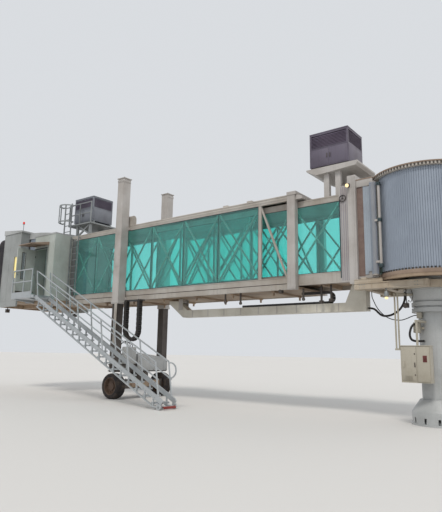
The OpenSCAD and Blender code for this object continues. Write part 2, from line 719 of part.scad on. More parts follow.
module service_door() {
  color([0.6, 0.62, 0.62]) difference() {
    union() {
      block(door_x1 - 45, door_x1 - 5, vest_y + 32, vest_y + 12 + door_w - 20, door_z0 + 12, door_z1 - 8);
      translate([door_x1 - 25, vest_y + 32, landing_z + seat]) cylinder(h = door_z1 - 8 - landing_z - seat, r = 20, $fn = 32);
    }
    block(door_x1 - 60, door_x1 + 10, vest_y + 520, vest_y + 660, door_z0 + 800, door_z1 - 200);
  }
  color([0.3, 0.32, 0.33]) block(door_x1 - 75, door_x1 - 44, vest_y + 760, vest_y + 860, door_z0 + 1000, door_z0 + 1030);
}

module stair_line(offset, w, x0, x1) {
  t = tan(stair_slope);
  strip([x0, stair_pin_z - (stair_pin_x - x0) * t + offset / cos(stair_slope)],
    [x1, stair_pin_z - (stair_pin_x - x1) * t + offset / cos(stair_slope)], w);
}

module stair_chords() {
  difference() {
    union() {
      stair_line(0, 150, stair_foot_x, stair_pin_x);
      translate([stair_pin_x, stair_pin_z]) circle(r = 60, $fn = 48);
      stair_line(-300, 45, stair_foot_x + 320, stair_pin_x - 120);
      for (i = [0:tread_count - 1]) {
        x = tread_x(i);
        panel(x - 20, x + 20, stair_z(x) - 335, stair_z(x));
      }
      translate([stair_foot_x, stair_z(stair_foot_x)]) circle(r = 75, $fn = 32);
      strip([stair_foot_x, stair_z(stair_foot_x)], [stair_foot_x + 40, foot_wheel_r], 90);
      translate([stair_foot_x + 40, foot_wheel_r]) circle(r = 45, $fn = 32);
      strip([stair_foot_x + 40, foot_wheel_r], [stair_foot_x + 340, stair_z(stair_foot_x + 340) - 336], 45);
    }
    translate([stair_pin_x, stair_pin_z]) circle(r = stair_pin_r + seat, $fn = 32);
  }
}

module stair_stringers() {
  color([0.58, 0.62, 0.68]) union() {
    upright(stair_y0, stair_y0 + 50) stair_chords();
    upright(stair_y1 - 50, stair_y1) stair_chords();
    translate([stair_foot_x + 40, stair_y1 + 56, foot_wheel_r]) rotate([90, 0, 0])
      cylinder(h = stair_y1 - stair_y0 + 112, r = 20, $fn = 24);
    for (y = [stair_y0 - 6, stair_y1 + 56]) translate([stair_foot_x + 40, y, foot_wheel_r]) rotate([90, 0, 0])
      cylinder(h = 50, r = foot_wheel_r, $fn = 48);
  }
}

module stair_treads() {
  color([0.6, 0.64, 0.68]) for (i = [0:tread_count - 1]) {
    x = tread_x(i);
    difference() {
      block(x - 150, x + 130, stair_y0 + 50, stair_y1 - 50, stair_z(x) - 260, stair_z(x) - 215);
      block(x - 140, x + 120, stair_y0 + 60, stair_y1 - 60, stair_z(x) - 270, stair_z(x) - 222);
    }
  }
}

module rail_side(foot_loop) {
  difference() {
    union() {
      stair_line(950, 42, stair_foot_x + 300, stair_pin_x - 60);
      stair_line(520, 36, stair_foot_x + 150, stair_pin_x - 60);
      for (i = [0:5]) {
        x = stair_foot_x + 120 + i * (stair_pin_x - stair_foot_x - 260) / 5;
        strip([x, stair_z(x)], [x + 180, stair_z(x + 180) + 950 / cos(stair_slope)], 40);
      }
      if (foot_loop) difference() {
        translate([stair_foot_x + 210, stair_z(stair_foot_x + 210) + 830]) circle(r = 260, $fn = 40);
        translate([stair_foot_x + 210, stair_z(stair_foot_x + 210) + 830]) circle(r = 222, $fn = 40);
        panel(stair_foot_x + 300, stair_foot_x + 900, 0, 2000);
      }
    }
    stair_line(0, 150, stair_foot_x - 400, stair_pin_x);
    translate([stair_foot_x, stair_z(stair_foot_x)]) circle(r = 75, $fn = 32);
  }
}

module stair_handrails() {
  color([0.62, 0.66, 0.7]) {
    upright(stair_y1 - 43, stair_y1 - 7) rail_side(false);
    upright(stair_y0 + 7, stair_y0 + 43) rail_side(true);
  }
}

module lift_beam() {
  color([0.42, 0.4, 0.38]) union() {
    both_sides() block(lift_x - inner_w / 2, lift_x + inner_w / 2, lift_y - inner_w / 2, lift_y + inner_w / 2, beam_z0, 7600);
    both_sides() for (z = [4450, 7450]) translate([lift_x, lift_y, z + pad_h / 2])
      cube([2 * (column_in - seat), 2 * (column_in - seat), pad_h], center = true);
    block(lift_x - 170, lift_x + 170, -lift_y, lift_y, beam_z0, beam_z1);
    translate([lift_x, 0, 560]) cylinder(h = beam_z0 - 559, r = kingpin_r, $fn = 64);
  }
}

module bogie_frame() {
  color([0.7, 0.62, 0.4]) difference() {
    union() {
      block(lift_x - 330, lift_x + 330, -lift_y + 280, lift_y - 280, 380, 700);
      translate([lift_x, 0, 699]) cylinder(h = beam_z0 - seat - 699, r = 380, $fn = 96);
      block(lift_x - 110, lift_x + 110, -lift_y + 231, lift_y - 231, 381, 620);
      translate([lift_x, lift_y + 20, wheel_r]) rotate([90, 0, 0]) cylinder(h = 2 * lift_y + 40, r = axle_r, $fn = 48);
    }
    translate([lift_x, 0, 540]) cylinder(h = 500, r = kingpin_r + 2, $fn = 64);
  }
}

module drive_wheel() {
  h = wheel_w / 2;
  translate([lift_x, lift_y, wheel_r]) rotate([-90, 0, 0]) rotate_extrude($fn = 96) polygon([
    [0, 40], [axle_r + seat, 40], [axle_r + seat, -h], [150, -h], [150, -60], [290, -60], [300, -h + 15], [330, -h],
    [wheel_r - 50, -h], [wheel_r - 12, -h + 25], [wheel_r, -h + 70], [wheel_r, h - 70], [wheel_r - 12, h - 25],
    [wheel_r - 50, h], [330, h], [300, h - 15], [285, 60], [160, 80], [140, 130], [0, 130]]);
}

module drive_wheel_near() {
  color([0.1, 0.1, 0.1]) drive_wheel();
}

module drive_wheel_far() {
  color([0.1, 0.1, 0.1]) mirror([0, 1, 0]) drive_wheel();
}

module hose_loop() {
  color([0.08, 0.08, 0.08]) union() {
    upright(1160, 1240) difference() {
      union() {
        translate([10720, 2640]) circle(r = 400, $fn = 64);
        panel(10320, 11120, 2640, b_bottom - 40);
      }
      translate([10720, 2640]) circle(r = 320, $fn = 64);
      panel(10400, 11040, 2639, b_bottom);
    }
    block(10300, 11140, b_half - 60, 1240, b_bottom - 41, b_bottom);
  }
}

module cab_floor() {
  color([0.5, 0.42, 0.36]) union() {
    difference() {
      union() {
        block(cab_rear, cab_front + 150, -cab_half + 80, cab_half - 80, cab_floor_z - 80, cab_floor_z);
        translate([cab_x, 0, cab_floor_z - 80]) cylinder(h = 80, r = cab_disc_r, $fn = 96);
        translate([cab_x, 0, cab_floor_z - 160 + seat]) cylinder(h = 100, r = 350, $fn = 64);
      }
      translate([cab_x, 0, cab_floor_z - 170]) cylinder(h = 150, r = kingpin_r + 2, $fn = 64);
    }
    both_sides() block(cab_x + 100, cab_front - 100, 700, 880, cab_floor_z - 240, cab_floor_z - 79);
    block(cab_front - 180, cab_front, -cab_half + 80, cab_half - 80, cab_floor_z - 260, cab_floor_z - 79);
  }
}

module cab_walls() {
  color([0.66, 0.67, 0.67]) difference() {
    union() {
      both_sides() upright(cab_half - 80, cab_half) panel(cab_rear, cab_front, 3700, cab_top - 80);
      both_sides() block(cab_rear, cab_rear + 80, cab_drum_r + 90, cab_half - 79, cab_floor_z, cab_top - 80);
      both_sides() block(cab_front - 80, cab_front, 1480, cab_half - 79, cab_floor_z, cab_top - 80);
      block(cab_front - 80, cab_front, -cab_half + 79, cab_half - 79, 6500, cab_top - 80);
    }
    block(slit_x0, slit_x1, -cab_half - 10, cab_half + 10, slit_z0, slit_z1);
  }
}

module cab_roof() {
  color([0.68, 0.68, 0.66]) union() {
    block(cab_rear - 40, cab_front + 40, -cab_half - 30, cab_half + 30, cab_top - 80, cab_top);
    both_sides() upright(cab_half - 20, cab_half + 30)
      polygon([[cab_rear - 40, cab_top - 1], [cab_front + 40, cab_top - 1], [cab_front + 40, cab_top + 150]]);
    translate([cab_x, 0, 0]) arc_wall(cab_drum_r + 20, cab_drum_r + 80, 90, 270, vest_top + 30, cab_top - 79);
    intersection() {
      translate([cab_x, 0, cab_top - 120]) cylinder(h = 60, r = cab_drum_r + 80, $fn = 192);
      block(cab_x - 2000, cab_x, -2000, 2000, cab_top - 130, cab_top);
    }
  }
}

module cab_glass() {
  color([0.8, 0.75, 0.5, 0.6]) both_sides() block(slit_x0, slit_x1, cab_half - 50, cab_half - 40, slit_z0, slit_z1);
}

module cab_canopy() {
  color([0.2, 0.2, 0.22]) translate([cab_front, 0, 0]) rotate([90, 0, 90]) linear_extrude(canopy_d) difference() {
    polygon([[-1960, 4300], [1960, 4300], [1960, 6700], [1700, 7060], [-1700, 7060], [-1960, 6700]]);
    polygon([[-1640, 4200], [1640, 4200], [1640, 6500], [1500, 6700], [-1500, 6700], [-1640, 6500]]);
  }
}

module cab_beacon() {
  color([0.5, 0.5, 0.5]) translate([cab_rear + 60, cab_half - 90, cab_top]) cylinder(h = 330, r = 14, $fn = 24);
  color([0.85, 0.15, 0.12]) translate([cab_rear + 60, cab_half - 90, cab_top + 330]) cylinder(h = 110, r = 50, $fn = 32);
}

module cab_curtains() {
  color([0.45, 0.47, 0.5]) {
    union() {
      translate([cab_x, 0, 0]) arc_wall(cab_drum_r + 20, cab_drum_r + 50, 94.5, 132, cab_floor_z - 100 + seat, vest_top + 20);
      block(vest_end, vest_end + 60, 1110, 1190, cab_floor_z, vest_top - 60);
    }
    union() {
      translate([cab_x, 0, 0]) arc_wall(cab_drum_r + 20, cab_drum_r + 50, -138, -94.5, cab_floor_z - 100 + seat, vest_top + 20);
      block(neck_x, neck_x + 60, -b_half, -b_half + 70, cab_floor_z, vest_top - 60);
    }
  }
}

module power_cable() {
  color([0.06, 0.06, 0.06]) cable(power_route, power_d / 2);
}

module control_cable() {
  color([0.06, 0.06, 0.06]) cable(control_route, control_d / 2);
}

pedestal();
control_cabinet();
cabinet_conduits();
rotunda_floor();
rotunda_roof();
rotunda_curtains();
terminal_portal();
swing_frame();
throat_portal();
curtain_rollers();
power_cable();
control_cable();
tunnel_a_floor();
tunnel_a_roof();
tunnel_a_side_near();
tunnel_a_side_far();
tunnel_a_glass();
cable_trough();
energy_chain();
ac_unit_inner();
ac_tray_inner();
tunnel_b_floor();
tunnel_b_roof();
tunnel_b_portal();
tunnel_b_side_near();
tunnel_b_side_far();
tunnel_b_glass();
lift_column_shells();
ac_unit_outer();
ac_platform_outer();
access_ladder();
vestibule_floor();
vestibule_walls();
vestibule_roof();
door_awning();
landing();
landing_railing();
hose_loop();
cab_curtains();
service_door();
stair_stringers();
stair_treads();
stair_handrails();
lift_beam();
bogie_frame();
drive_wheel_near();
drive_wheel_far();
cab_floor();
cab_walls();
cab_roof();
cab_glass();
cab_canopy();
cab_beacon();
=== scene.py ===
import math

import bmesh
import bpy
from mathutils import Matrix, Vector


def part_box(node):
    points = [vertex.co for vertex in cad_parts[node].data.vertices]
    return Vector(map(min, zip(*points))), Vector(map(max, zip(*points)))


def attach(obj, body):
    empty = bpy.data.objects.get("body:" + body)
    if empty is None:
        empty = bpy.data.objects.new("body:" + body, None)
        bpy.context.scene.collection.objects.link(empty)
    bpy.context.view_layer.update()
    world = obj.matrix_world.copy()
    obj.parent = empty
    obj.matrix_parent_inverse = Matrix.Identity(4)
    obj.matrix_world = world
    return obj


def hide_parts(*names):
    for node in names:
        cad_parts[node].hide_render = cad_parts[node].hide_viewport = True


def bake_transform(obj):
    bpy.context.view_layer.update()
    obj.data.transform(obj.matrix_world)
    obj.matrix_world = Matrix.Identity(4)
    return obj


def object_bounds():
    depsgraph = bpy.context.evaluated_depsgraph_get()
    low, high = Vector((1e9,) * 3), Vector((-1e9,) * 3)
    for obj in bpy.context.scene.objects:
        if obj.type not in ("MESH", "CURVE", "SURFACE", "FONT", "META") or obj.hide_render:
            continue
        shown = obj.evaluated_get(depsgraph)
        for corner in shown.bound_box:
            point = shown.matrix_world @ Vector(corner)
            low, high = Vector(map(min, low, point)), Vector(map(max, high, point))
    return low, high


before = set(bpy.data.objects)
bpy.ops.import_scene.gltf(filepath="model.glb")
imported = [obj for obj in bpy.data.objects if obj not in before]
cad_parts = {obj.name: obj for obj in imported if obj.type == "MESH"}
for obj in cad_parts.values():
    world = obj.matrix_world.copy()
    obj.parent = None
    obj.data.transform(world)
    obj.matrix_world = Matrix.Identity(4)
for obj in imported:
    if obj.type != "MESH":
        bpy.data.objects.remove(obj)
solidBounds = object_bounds()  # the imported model's box, before anything is dressed
print("frame loaded")

# camera, worked out from the photo's vanishing points
camera = {
    "place": (-4.03, 14.916, 1.75),
    "yaw": 37.54,
    "pitch": 10.73,
    "roll": 1.03,
    "lens": 36.33,
    "sensor": 36,
    "farClip": 800,
}


def placeCamera(spec):
    yaw, pitch, roll = (math.radians(spec[k]) for k in ("yaw", "pitch", "roll"))
    level = math.cos(pitch)
    ahead = Vector((math.sin(yaw) * level, -math.cos(yaw) * level, math.sin(pitch)))
    side = Vector((-math.cos(yaw), -math.sin(yaw), 0))
    above = side.cross(ahead)
    right = side * math.cos(roll) + above * math.sin(roll)
    up = above * math.cos(roll) - side * math.sin(roll)
    data = bpy.data.cameras.new("photoCamera")
    data.sensor_width = spec["sensor"]
    data.lens = spec["lens"]
    data.clip_end = spec["farClip"]
    obj = bpy.data.objects.new("photoCamera", data)
    turn = Matrix((right, up, -ahead)).transposed().to_4x4()
    obj.matrix_world = Matrix.Translation(Vector(spec["place"])) @ turn
    bpy.context.collection.objects.link(obj)
    bpy.context.scene.camera = obj


placeCamera(camera)
bpy.context.scene.view_settings.view_transform = "Standard"


# materials

black = (0, 0, 0, 1)
white = (1, 1, 1, 1)


def grey(level):
    return (level, level, level, 1)


def shade(red, green, blue):
    return tuple((c / 255) ** 2.2 for c in (red, green, blue)) + (1,)


def darker(colour, share):
    return tuple(c * share for c in colour[:3]) + (1,)


def startMaterial(name):
    material = bpy.data.materials.new(name)
    material.use_nodes = True
    tree = material.node_tree
    tree.nodes.clear()
    out = tree.nodes.new("ShaderNodeOutputMaterial")
    skin = tree.nodes.new("ShaderNodeBsdfPrincipled")
    tree.links.new(skin.outputs[0], out.inputs[0])
    where = tree.nodes.new("ShaderNodeTexCoord")
    return material, tree, skin, where


def stretched(tree, where, scale=(1, 1, 1)):
    mapping = tree.nodes.new("ShaderNodeMapping")
    mapping.inputs["Scale"].default_value = scale
    tree.links.new(where.outputs["Object"], mapping.inputs["Vector"])
    return mapping.outputs[0]


def noise(tree, vector, scale, detail, rough):
    node = tree.nodes.new("ShaderNodeTexNoise")
    node.inputs["Scale"].default_value = scale
    node.inputs["Detail"].default_value = detail
    node.inputs["Roughness"].default_value = rough
    tree.links.new(vector, node.inputs["Vector"])
    return node.outputs["Fac"]


# a blend from low to high between the two places in edge
def fade(tree, factor, edge, low=black, high=white):
    node = tree.nodes.new("ShaderNodeValToRGB")
    for stop, place, colour in zip(node.color_ramp.elements, edge, (low, high)):
        stop.position = place
        stop.color = colour
    tree.links.new(factor, node.inputs[0])
    return node.outputs[0]


def spread(tree, factor, low, high):
    node = tree.nodes.new("ShaderNodeMapRange")
    node.inputs["To Min"].default_value = low
    node.inputs["To Max"].default_value = high
    tree.links.new(factor, node.inputs["Value"])
    return node.outputs[0]


def mixColours(tree, factor, low, high, kind="MIX"):
    node = tree.nodes.new("ShaderNodeMix")
    node.data_type = "RGBA"
    node.blend_type = kind
    for value, socket in ((factor, node.inputs[0]), (low, node.inputs[6]), (high, node.inputs[7])):
        if hasattr(value, "links"):
            tree.links.new(value, socket)
        else:
            socket.default_value = value
    return node.outputs[2]


def addBump(tree, skin, height, strength, distance):
    bump = tree.nodes.new("ShaderNodeBump")
    bump.inputs["Strength"].default_value = strength
    bump.inputs["Distance"].default_value = distance
    tree.links.new(height, bump.inputs["Height"])
    tree.links.new(bump.outputs[0], skin.inputs["Normal"])


paintWear = {
    "cloud": {"scale": 0.8, "detail": 6.0, "rough": 0.6},
    "cloudEdge": (0.42, 0.74),
    "runs": {"scale": 1.6, "detail": 5.0, "rough": 0.62},
    "runStretch": (9, 9, 0.35),
    "runEdge": (0.55, 0.78),
    "specks": {"scale": 38, "detail": 3.0, "rough": 0.5},
    "speckEdge": (0.3, 0.7),
    "speckShade": 0.93,
    "roughness": (-0.08, 0.16),
    "bump": (0.25, 0.002),
}


def weatheredPaint(name, clean, grime, roughness=0.45, streaks=0.5, metallic=0.0):
    wear = paintWear
    material, tree, skin, where = startMaterial(name)
    plain = stretched(tree, where)
    broad = noise(tree, plain, **wear["cloud"])
    runs = noise(tree, stretched(tree, where, wear["runStretch"]), **wear["runs"])
    specks = noise(tree, plain, **wear["specks"])
    base = mixColours(tree, fade(tree, broad, wear["cloudEdge"]), clean, grime)
    base = mixColours(tree, fade(tree, runs, wear["runEdge"], high=grey(streaks)), base, grime)
    fine = fade(tree, specks, wear["speckEdge"], low=grey(wear["speckShade"]))
    base = mixColours(tree, 1.0, base, fine, "MULTIPLY")
    tree.links.new(base, skin.inputs["Base Color"])
    smoother, rougher = wear["roughness"]
    rough = spread(tree, broad, roughness + smoother, roughness + rougher)
    tree.links.new(rough, skin.inputs["Roughness"])
    skin.inputs["Metallic"].default_value = metallic
    addBump(tree, skin, specks, *wear["bump"])
    return material


metalWear = {
    "brush": {"scale": 3.0, "detail": 3.0, "rough": 0.5},
    "brushEdge": (0.3, 0.7),
    "brushShade": 0.86,
    "cloud": {"scale": 1.4, "detail": 5.0, "rough": 0.6},
    "metallic": 0.55,
    "bump": (0.18, 0.0015),
}


def brushedMetal(name, light, dark, roughness=0.38, grain=(60, 60, 3)):
    wear = metalWear
    material, tree, skin, where = startMaterial(name)
    brush = noise(tree, stretched(tree, where, grain), **wear["brush"])
    cloud = noise(tree, stretched(tree, where), **wear["cloud"])
    fine = fade(tree, brush, wear["brushEdge"], low=grey(wear["brushShade"]))
    base = mixColours(tree, 1.0, mixColours(tree, cloud, light, dark), fine, "MULTIPLY")
    tree.links.new(base, skin.inputs["Base Color"])
    skin.inputs["Metallic"].default_value = wear["metallic"]
    skin.inputs["Roughness"].default_value = roughness
    addBump(tree, skin, brush, *wear["bump"])
    return material


rubberWear = {
    "cloud": {"scale": 5, "detail": 4.0, "rough": 0.6},
    "cloudEdge": (0.45, 0.75),
    "bump": (0.3, 0.002),
}


def darkRubber(name, colour, worn, roughness=0.7, grain=90):
    wear = rubberWear
    material, tree, skin, where = startMaterial(name)
    plain = stretched(tree, where)
    fine = noise(tree, plain, grain, 3.0, 0.5)
    cloud = fade(tree, noise(tree, plain, **wear["cloud"]), wear["cloudEdge"])
    tree.links.new(mixColours(tree, cloud, colour, worn), skin.inputs["Base Color"])
    skin.inputs["Roughness"].default_value = roughness
    addBump(tree, skin, fine, *wear["bump"])
    return material


fabricWear = {
    "threadScale": 13,
    "cloud": {"scale": 2.4, "detail": 5.0, "rough": 0.6},
    "cloudEdge": (0.4, 0.8),
    "roughness": 0.72,
    "sheen": 0.15,
    "bump": (0.3, 0.002),
}


def wovenFabric(name, colour, worn):
    wear = fabricWear
    material, tree, skin, where = startMaterial(name)
    weave = tree.nodes.new("ShaderNodeMath")
    weave.operation = "MULTIPLY"
    for way, socket in zip(("Y", "Z"), weave.inputs):
        wave = tree.nodes.new("ShaderNodeTexWave")
        wave.bands_direction = way
        wave.inputs["Scale"].default_value = wear["threadScale"]
        tree.links.new(where.outputs["Object"], wave.inputs["Vector"])
        tree.links.new(wave.outputs["Fac"], socket)
    cloud = fade(tree, noise(tree, stretched(tree, where), **wear["cloud"]), wear["cloudEdge"])
    tree.links.new(mixColours(tree, cloud, colour, worn), skin.inputs["Base Color"])
    skin.inputs["Roughness"].default_value = wear["roughness"]
    skin.inputs["Sheen Weight"].default_value = wear["sheen"]
    addBump(tree, skin, weave.outputs[0], *wear["bump"])
    return material


glassFilm = {
    "stretch": (1, 1, 0.3),
    "film": {"scale": 0.7, "detail": 4.0, "rough": 0.6},
    "filmEdge": (0.35, 0.75),
    "filmShade": 0.93,
    "haze": 0.05,
}


def tintedGlass(name, tint, roughness=0.03, ior=1.35, clear=1.0):
    material, tree, skin, where = startMaterial(name)
    film = noise(tree, stretched(tree, where, glassFilm["stretch"]), **glassFilm["film"])
    tree.links.new(spread(tree, film, roughness, roughness + glassFilm["haze"]), skin.inputs["Roughness"])
    dull = darker(tint, glassFilm["filmShade"])
    base = mixColours(tree, fade(tree, film, glassFilm["filmEdge"]), tint, dull)
    tree.links.new(base, skin.inputs["Base Color"])
    skin.inputs["Transmission Weight"].default_value = clear
    skin.inputs["IOR"].default_value = ior
    return material


lens = {
    "ripple": {"scale": 60, "detail": 2.0, "rough": 0.5},
    "shade": 0.8,
    "roughness": 0.2,
    "bump": (0.2, 0.001),
}


# A glowing lens: the real lamps, and the cab window, whose glow is painted light.
def glowingLens(name, colour, glow):
    material, tree, skin, where = startMaterial(name)
    ripple = noise(tree, stretched(tree, where), **lens["ripple"])
    base = mixColours(tree, ripple, colour, darker(colour, lens["shade"]))
    tree.links.new(base, skin.inputs["Base Color"])
    skin.inputs["Emission Color"].default_value = colour
    skin.inputs["Emission Strength"].default_value = glow
    skin.inputs["Roughness"].default_value = lens["roughness"]
    addBump(tree, skin, ripple, *lens["bump"])
    return material


finish = {
    "paintWhite": weatheredPaint("paintWhite", shade(178, 174, 170), shade(148, 141, 134), 0.42, 0.45),
    "tunnelPaint": weatheredPaint("tunnelPaint", shade(172, 167, 160), shade(140, 130, 118), 0.45, 0.55),
    "roofPaint": weatheredPaint("roofPaint", shade(186, 180, 172), shade(140, 132, 122), 0.55, 0.3),
    "paintGrey": weatheredPaint("paintGrey", shade(172, 174, 174), shade(140, 142, 140), 0.45, 0.4),
    # The vestibule walls and the cab walls share one grey paint: the vestibule copy is lightened as painted
    # light, and the cab copy is darkened as painted shade.
    "wallGrey": weatheredPaint("wallGrey", shade(176, 182, 176), shade(150, 155, 148), 0.48, 0.6),
    "cabGrey": weatheredPaint("cabGrey", shade(148, 151, 150), shade(124, 127, 124), 0.48, 0.6),
    # The cable trough is lightened as painted sunlight, the grazing sun on its side.
    "troughCreamPaintedSun": weatheredPaint("troughCreamPaintedSun", shade(206, 202, 190), shade(172, 166, 152), 0.45, 0.5),
    # Brown of the floor frames: partly their paint, partly painted shade, the dark warm look of their shaded
    # undersides.
    "frameBrown": weatheredPaint("frameBrown", shade(166, 146, 124), shade(112, 92, 76), 0.6, 0.6),
    "swingTan": weatheredPaint("swingTan", shade(182, 171, 154), shade(148, 130, 108), 0.5, 0.5),
    "rimBrown": weatheredPaint("rimBrown", shade(150, 130, 114), shade(112, 94, 80), 0.5, 0.5),
    "slats": brushedMetal("slats", shade(161, 170, 182), shade(138, 146, 158), 0.42, (60, 60, 1.2)),
    "unitGrey": weatheredPaint("unitGrey", shade(98, 92, 106), shade(74, 66, 78), 0.5, 0.4),
    "grille": weatheredPaint("grille", shade(106, 95, 113), shade(76, 69, 85), 0.6, 0.2),
    "cabinet": weatheredPaint("cabinet", shade(168, 162, 148), shade(136, 128, 110), 0.5, 0.4),
    "stairMetal": brushedMetal("stairMetal", shade(196, 200, 202), shade(160, 165, 168), 0.4),
    "galvanised": brushedMetal("galvanised", shade(168, 172, 172), shade(120, 124, 126), 0.5, (8, 8, 8)),
    "darkSteel": weatheredPaint("darkSteel", shade(84, 78, 74), shade(52, 46, 42), 0.55, 0.4, 0.3),
    "chain": darkRubber("chain", shade(38, 36, 36), shade(62, 56, 50), 0.5, 60),
    "rubber": darkRubber("rubber", shade(34, 33, 34), shade(58, 54, 50)),
    "tyre": darkRubber("tyre", shade(44, 40, 40), shade(88, 76, 66), 0.85, 70),
    "canopy": wovenFabric("canopy", shade(52, 52, 58), shade(84, 80, 80)),
    "glass": tintedGlass("glass", (0.43, 0.99, 0.94, 1), ior=1.42, clear=0.93),
    # The cab window glows warm as painted light; it is no lamp.
    "window": glowingLens("window", shade(246, 226, 150), 0.35),
    "clearGlass": tintedGlass("clearGlass", (0.75, 0.82, 0.85, 1)),
    "lampRed": glowingLens("lampRed", shade(214, 44, 34), 0.25),
    "lampWarm": glowingLens("lampWarm", shade(255, 226, 170), 0.8),
    "gasket": darkRubber("gasket", shade(48, 62, 66), shade(74, 86, 88)),
    "redPaint": weatheredPaint("redPaint", shade(156, 60, 54), shade(110, 44, 40), 0.5, 0.3),
    "handleRed": weatheredPaint("handleRed", shade(96, 46, 44), shade(70, 34, 32), 0.5, 0.1),
    "unitSlate": weatheredPaint("unitSlate", shade(124, 128, 136), shade(98, 100, 108), 0.5, 0.4),
    "foldGrey": weatheredPaint("foldGrey", shade(150, 147, 152), shade(134, 118, 118), 0.5, 0.6),
    "panelBlue": weatheredPaint("panelBlue", shade(158, 168, 178), shade(136, 142, 150), 0.45, 0.4),
    # Brown of the throat seal: painted shade, the dark of the gap it fills.
    "sealBrown": darkRubber("sealBrown", shade(120, 102, 94), shade(102, 84, 78), 0.7, 60),
    "rackGrey": weatheredPaint("rackGrey", shade(104, 108, 108), shade(76, 76, 74), 0.6, 0.4),
    "hubBrown": weatheredPaint("hubBrown", shade(104, 84, 70), shade(70, 56, 48), 0.6, 0.4),
}
print("materials ready")

nodeFinish = {
    "pedestal": "paintGrey", "control_cabinet": "cabinet", "cabinet_conduits": "cabinet",
    "rotunda_floor": "frameBrown", "rotunda_roof": "roofPaint", "rotunda_curtains": "slats",
    "terminal_portal": "paintWhite", "swing_frame": "swingTan", "throat_portal": "paintWhite",
    "curtain_rollers": "paintWhite", "power_cable": "rubber", "control_cable": "rubber",
    "tunnel_a_floor": "frameBrown", "tunnel_a_roof": "tunnelPaint", "tunnel_a_side_near": "tunnelPaint",
    "tunnel_a_side_far": "tunnelPaint", "tunnel_a_glass": "glass", "cable_trough": "troughCreamPaintedSun",
    "energy_chain": "chain", "ac_unit_inner": "unitGrey", "ac_tray_inner": "paintWhite",
    "tunnel_b_floor": "frameBrown", "tunnel_b_roof": "roofPaint", "tunnel_b_portal": "paintWhite",
    "tunnel_b_side_near": "tunnelPaint", "tunnel_b_side_far": "tunnelPaint", "tunnel_b_glass": "glass",
    "lift_column_shells": "paintWhite", "ac_unit_outer": "unitSlate", "ac_platform_outer": "galvanised",
    "access_ladder": "galvanised", "vestibule_floor": "frameBrown", "vestibule_walls": "wallGrey",
    "vestibule_roof": "paintGrey", "door_awning": "rimBrown", "landing": "stairMetal",
    "landing_railing": "stairMetal", "hose_loop": "chain", "cab_curtains": "slats",
    "service_door": "wallGrey", "stair_stringers": "stairMetal", "stair_treads": "stairMetal",
    "stair_handrails": "stairMetal", "lift_beam": "darkSteel", "bogie_frame": "darkSteel",
    "drive_wheel_near": "tyre", "drive_wheel_far": "tyre", "cab_floor": "frameBrown",
    "cab_walls": "cabGrey", "cab_roof": "paintGrey", "cab_glass": "window",
    "cab_canopy": "canopy", "cab_beacon": "galvanised",
}
for node, name in nodeFinish.items():
    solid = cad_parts[node]
    if not solid.material_slots:
        solid.data.materials.append(finish[name])
    for holder in solid.material_slots:
        holder.material = finish[name]


# small tools for making pieces

sides = (1, -1)  # near and far
across = (0, 1, 0)
fullTurn = 2 * math.pi
letIn = 0.001  # how far trim sinks into what it sits on


def addBlock(bm, low, high, edge=0.0, segments=2):
    verts = bmesh.ops.create_cube(bm, size=1.0)["verts"]
    bmesh.ops.scale(bm, vec=[b - a for a, b in zip(low, high)], verts=verts)
    bmesh.ops.translate(bm, vec=[(a + b) / 2 for a, b in zip(low, high)], verts=verts)
    if edge:
        edges = list({e for v in verts for e in v.link_edges})
        bmesh.ops.bevel(bm, geom=edges, offset=edge, offset_type="OFFSET", affect="EDGES",
                        segments=segments, profile=0.5, material=-1, clamp_overlap=True)


# the same block on the near and on the far side, from y outwards by depth
def addPlate(bm, x0, x1, y, depth, low, high, edge=0.003, segments=1):
    for side in sides:
        ys = sorted((side * y, side * (y + depth)))
        addBlock(bm, (x0, ys[0], low), (x1, ys[1], high), edge, segments)


def addFolds(bm, x0, x1, y, low, high, pitch, depth):
    count = max(1, round((x1 - x0) / pitch))
    step = (x1 - x0) / count
    for i in range(count):
        start = x0 + step * (i + 0.2)
        addPlate(bm, start, start + step * 0.55, y - letIn, depth, low, high, 0.005)


def addRod(bm, start, end, radius, steps=16, endRadius=None):
    a, b = Vector(start), Vector(end)
    axis = b - a
    place = Matrix.Translation((a + b) / 2) @ axis.to_track_quat("Z", "Y").to_matrix().to_4x4()
    bmesh.ops.create_cone(bm, cap_ends=True, cap_tris=False, segments=steps, radius1=radius,
                          radius2=radius if endRadius is None else endRadius,
                          depth=axis.length, matrix=place)


# a profile of (reach, height along the axis) pairs, turned once round its centre
def addSpun(bm, centre, profile, steps=48, axis=(0, 0, 1)):
    middle, along = Vector(centre), Vector(axis)
    verts = [bm.verts.new(middle + Vector((reach, 0, 0)) + along * height) for reach, height in profile]
    edges = [bm.edges.new((a, b)) for a, b in zip(verts, verts[1:])]
    bmesh.ops.spin(bm, geom=verts + edges, cent=middle, axis=along, angle=fullTurn, steps=steps,
                   use_merge=True)
    bmesh.ops.remove_doubles(bm, verts=bm.verts, dist=0.00005)


def roundProfile(reach, radius, count):
    angles = [fullTurn * k / count for k in range(count + 1)]
    return [(reach + radius * math.cos(a), radius * math.sin(a)) for a in angles]


def makePiece(name, bm, material, body, smooth=35):
    bmesh.ops.recalc_face_normals(bm, faces=bm.faces)
    mesh = bpy.data.meshes.new(name)
    bm.to_mesh(mesh)
    bm.free()
    obj = bpy.data.objects.new(name, mesh)
    bpy.context.collection.objects.link(obj)
    mesh.materials.append(finish[material])
    if smooth is not None:
        mesh.shade_smooth()
        mesh.set_sharp_from_angle(angle=math.radians(smooth))
    if body:
        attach(obj, body)
    return obj


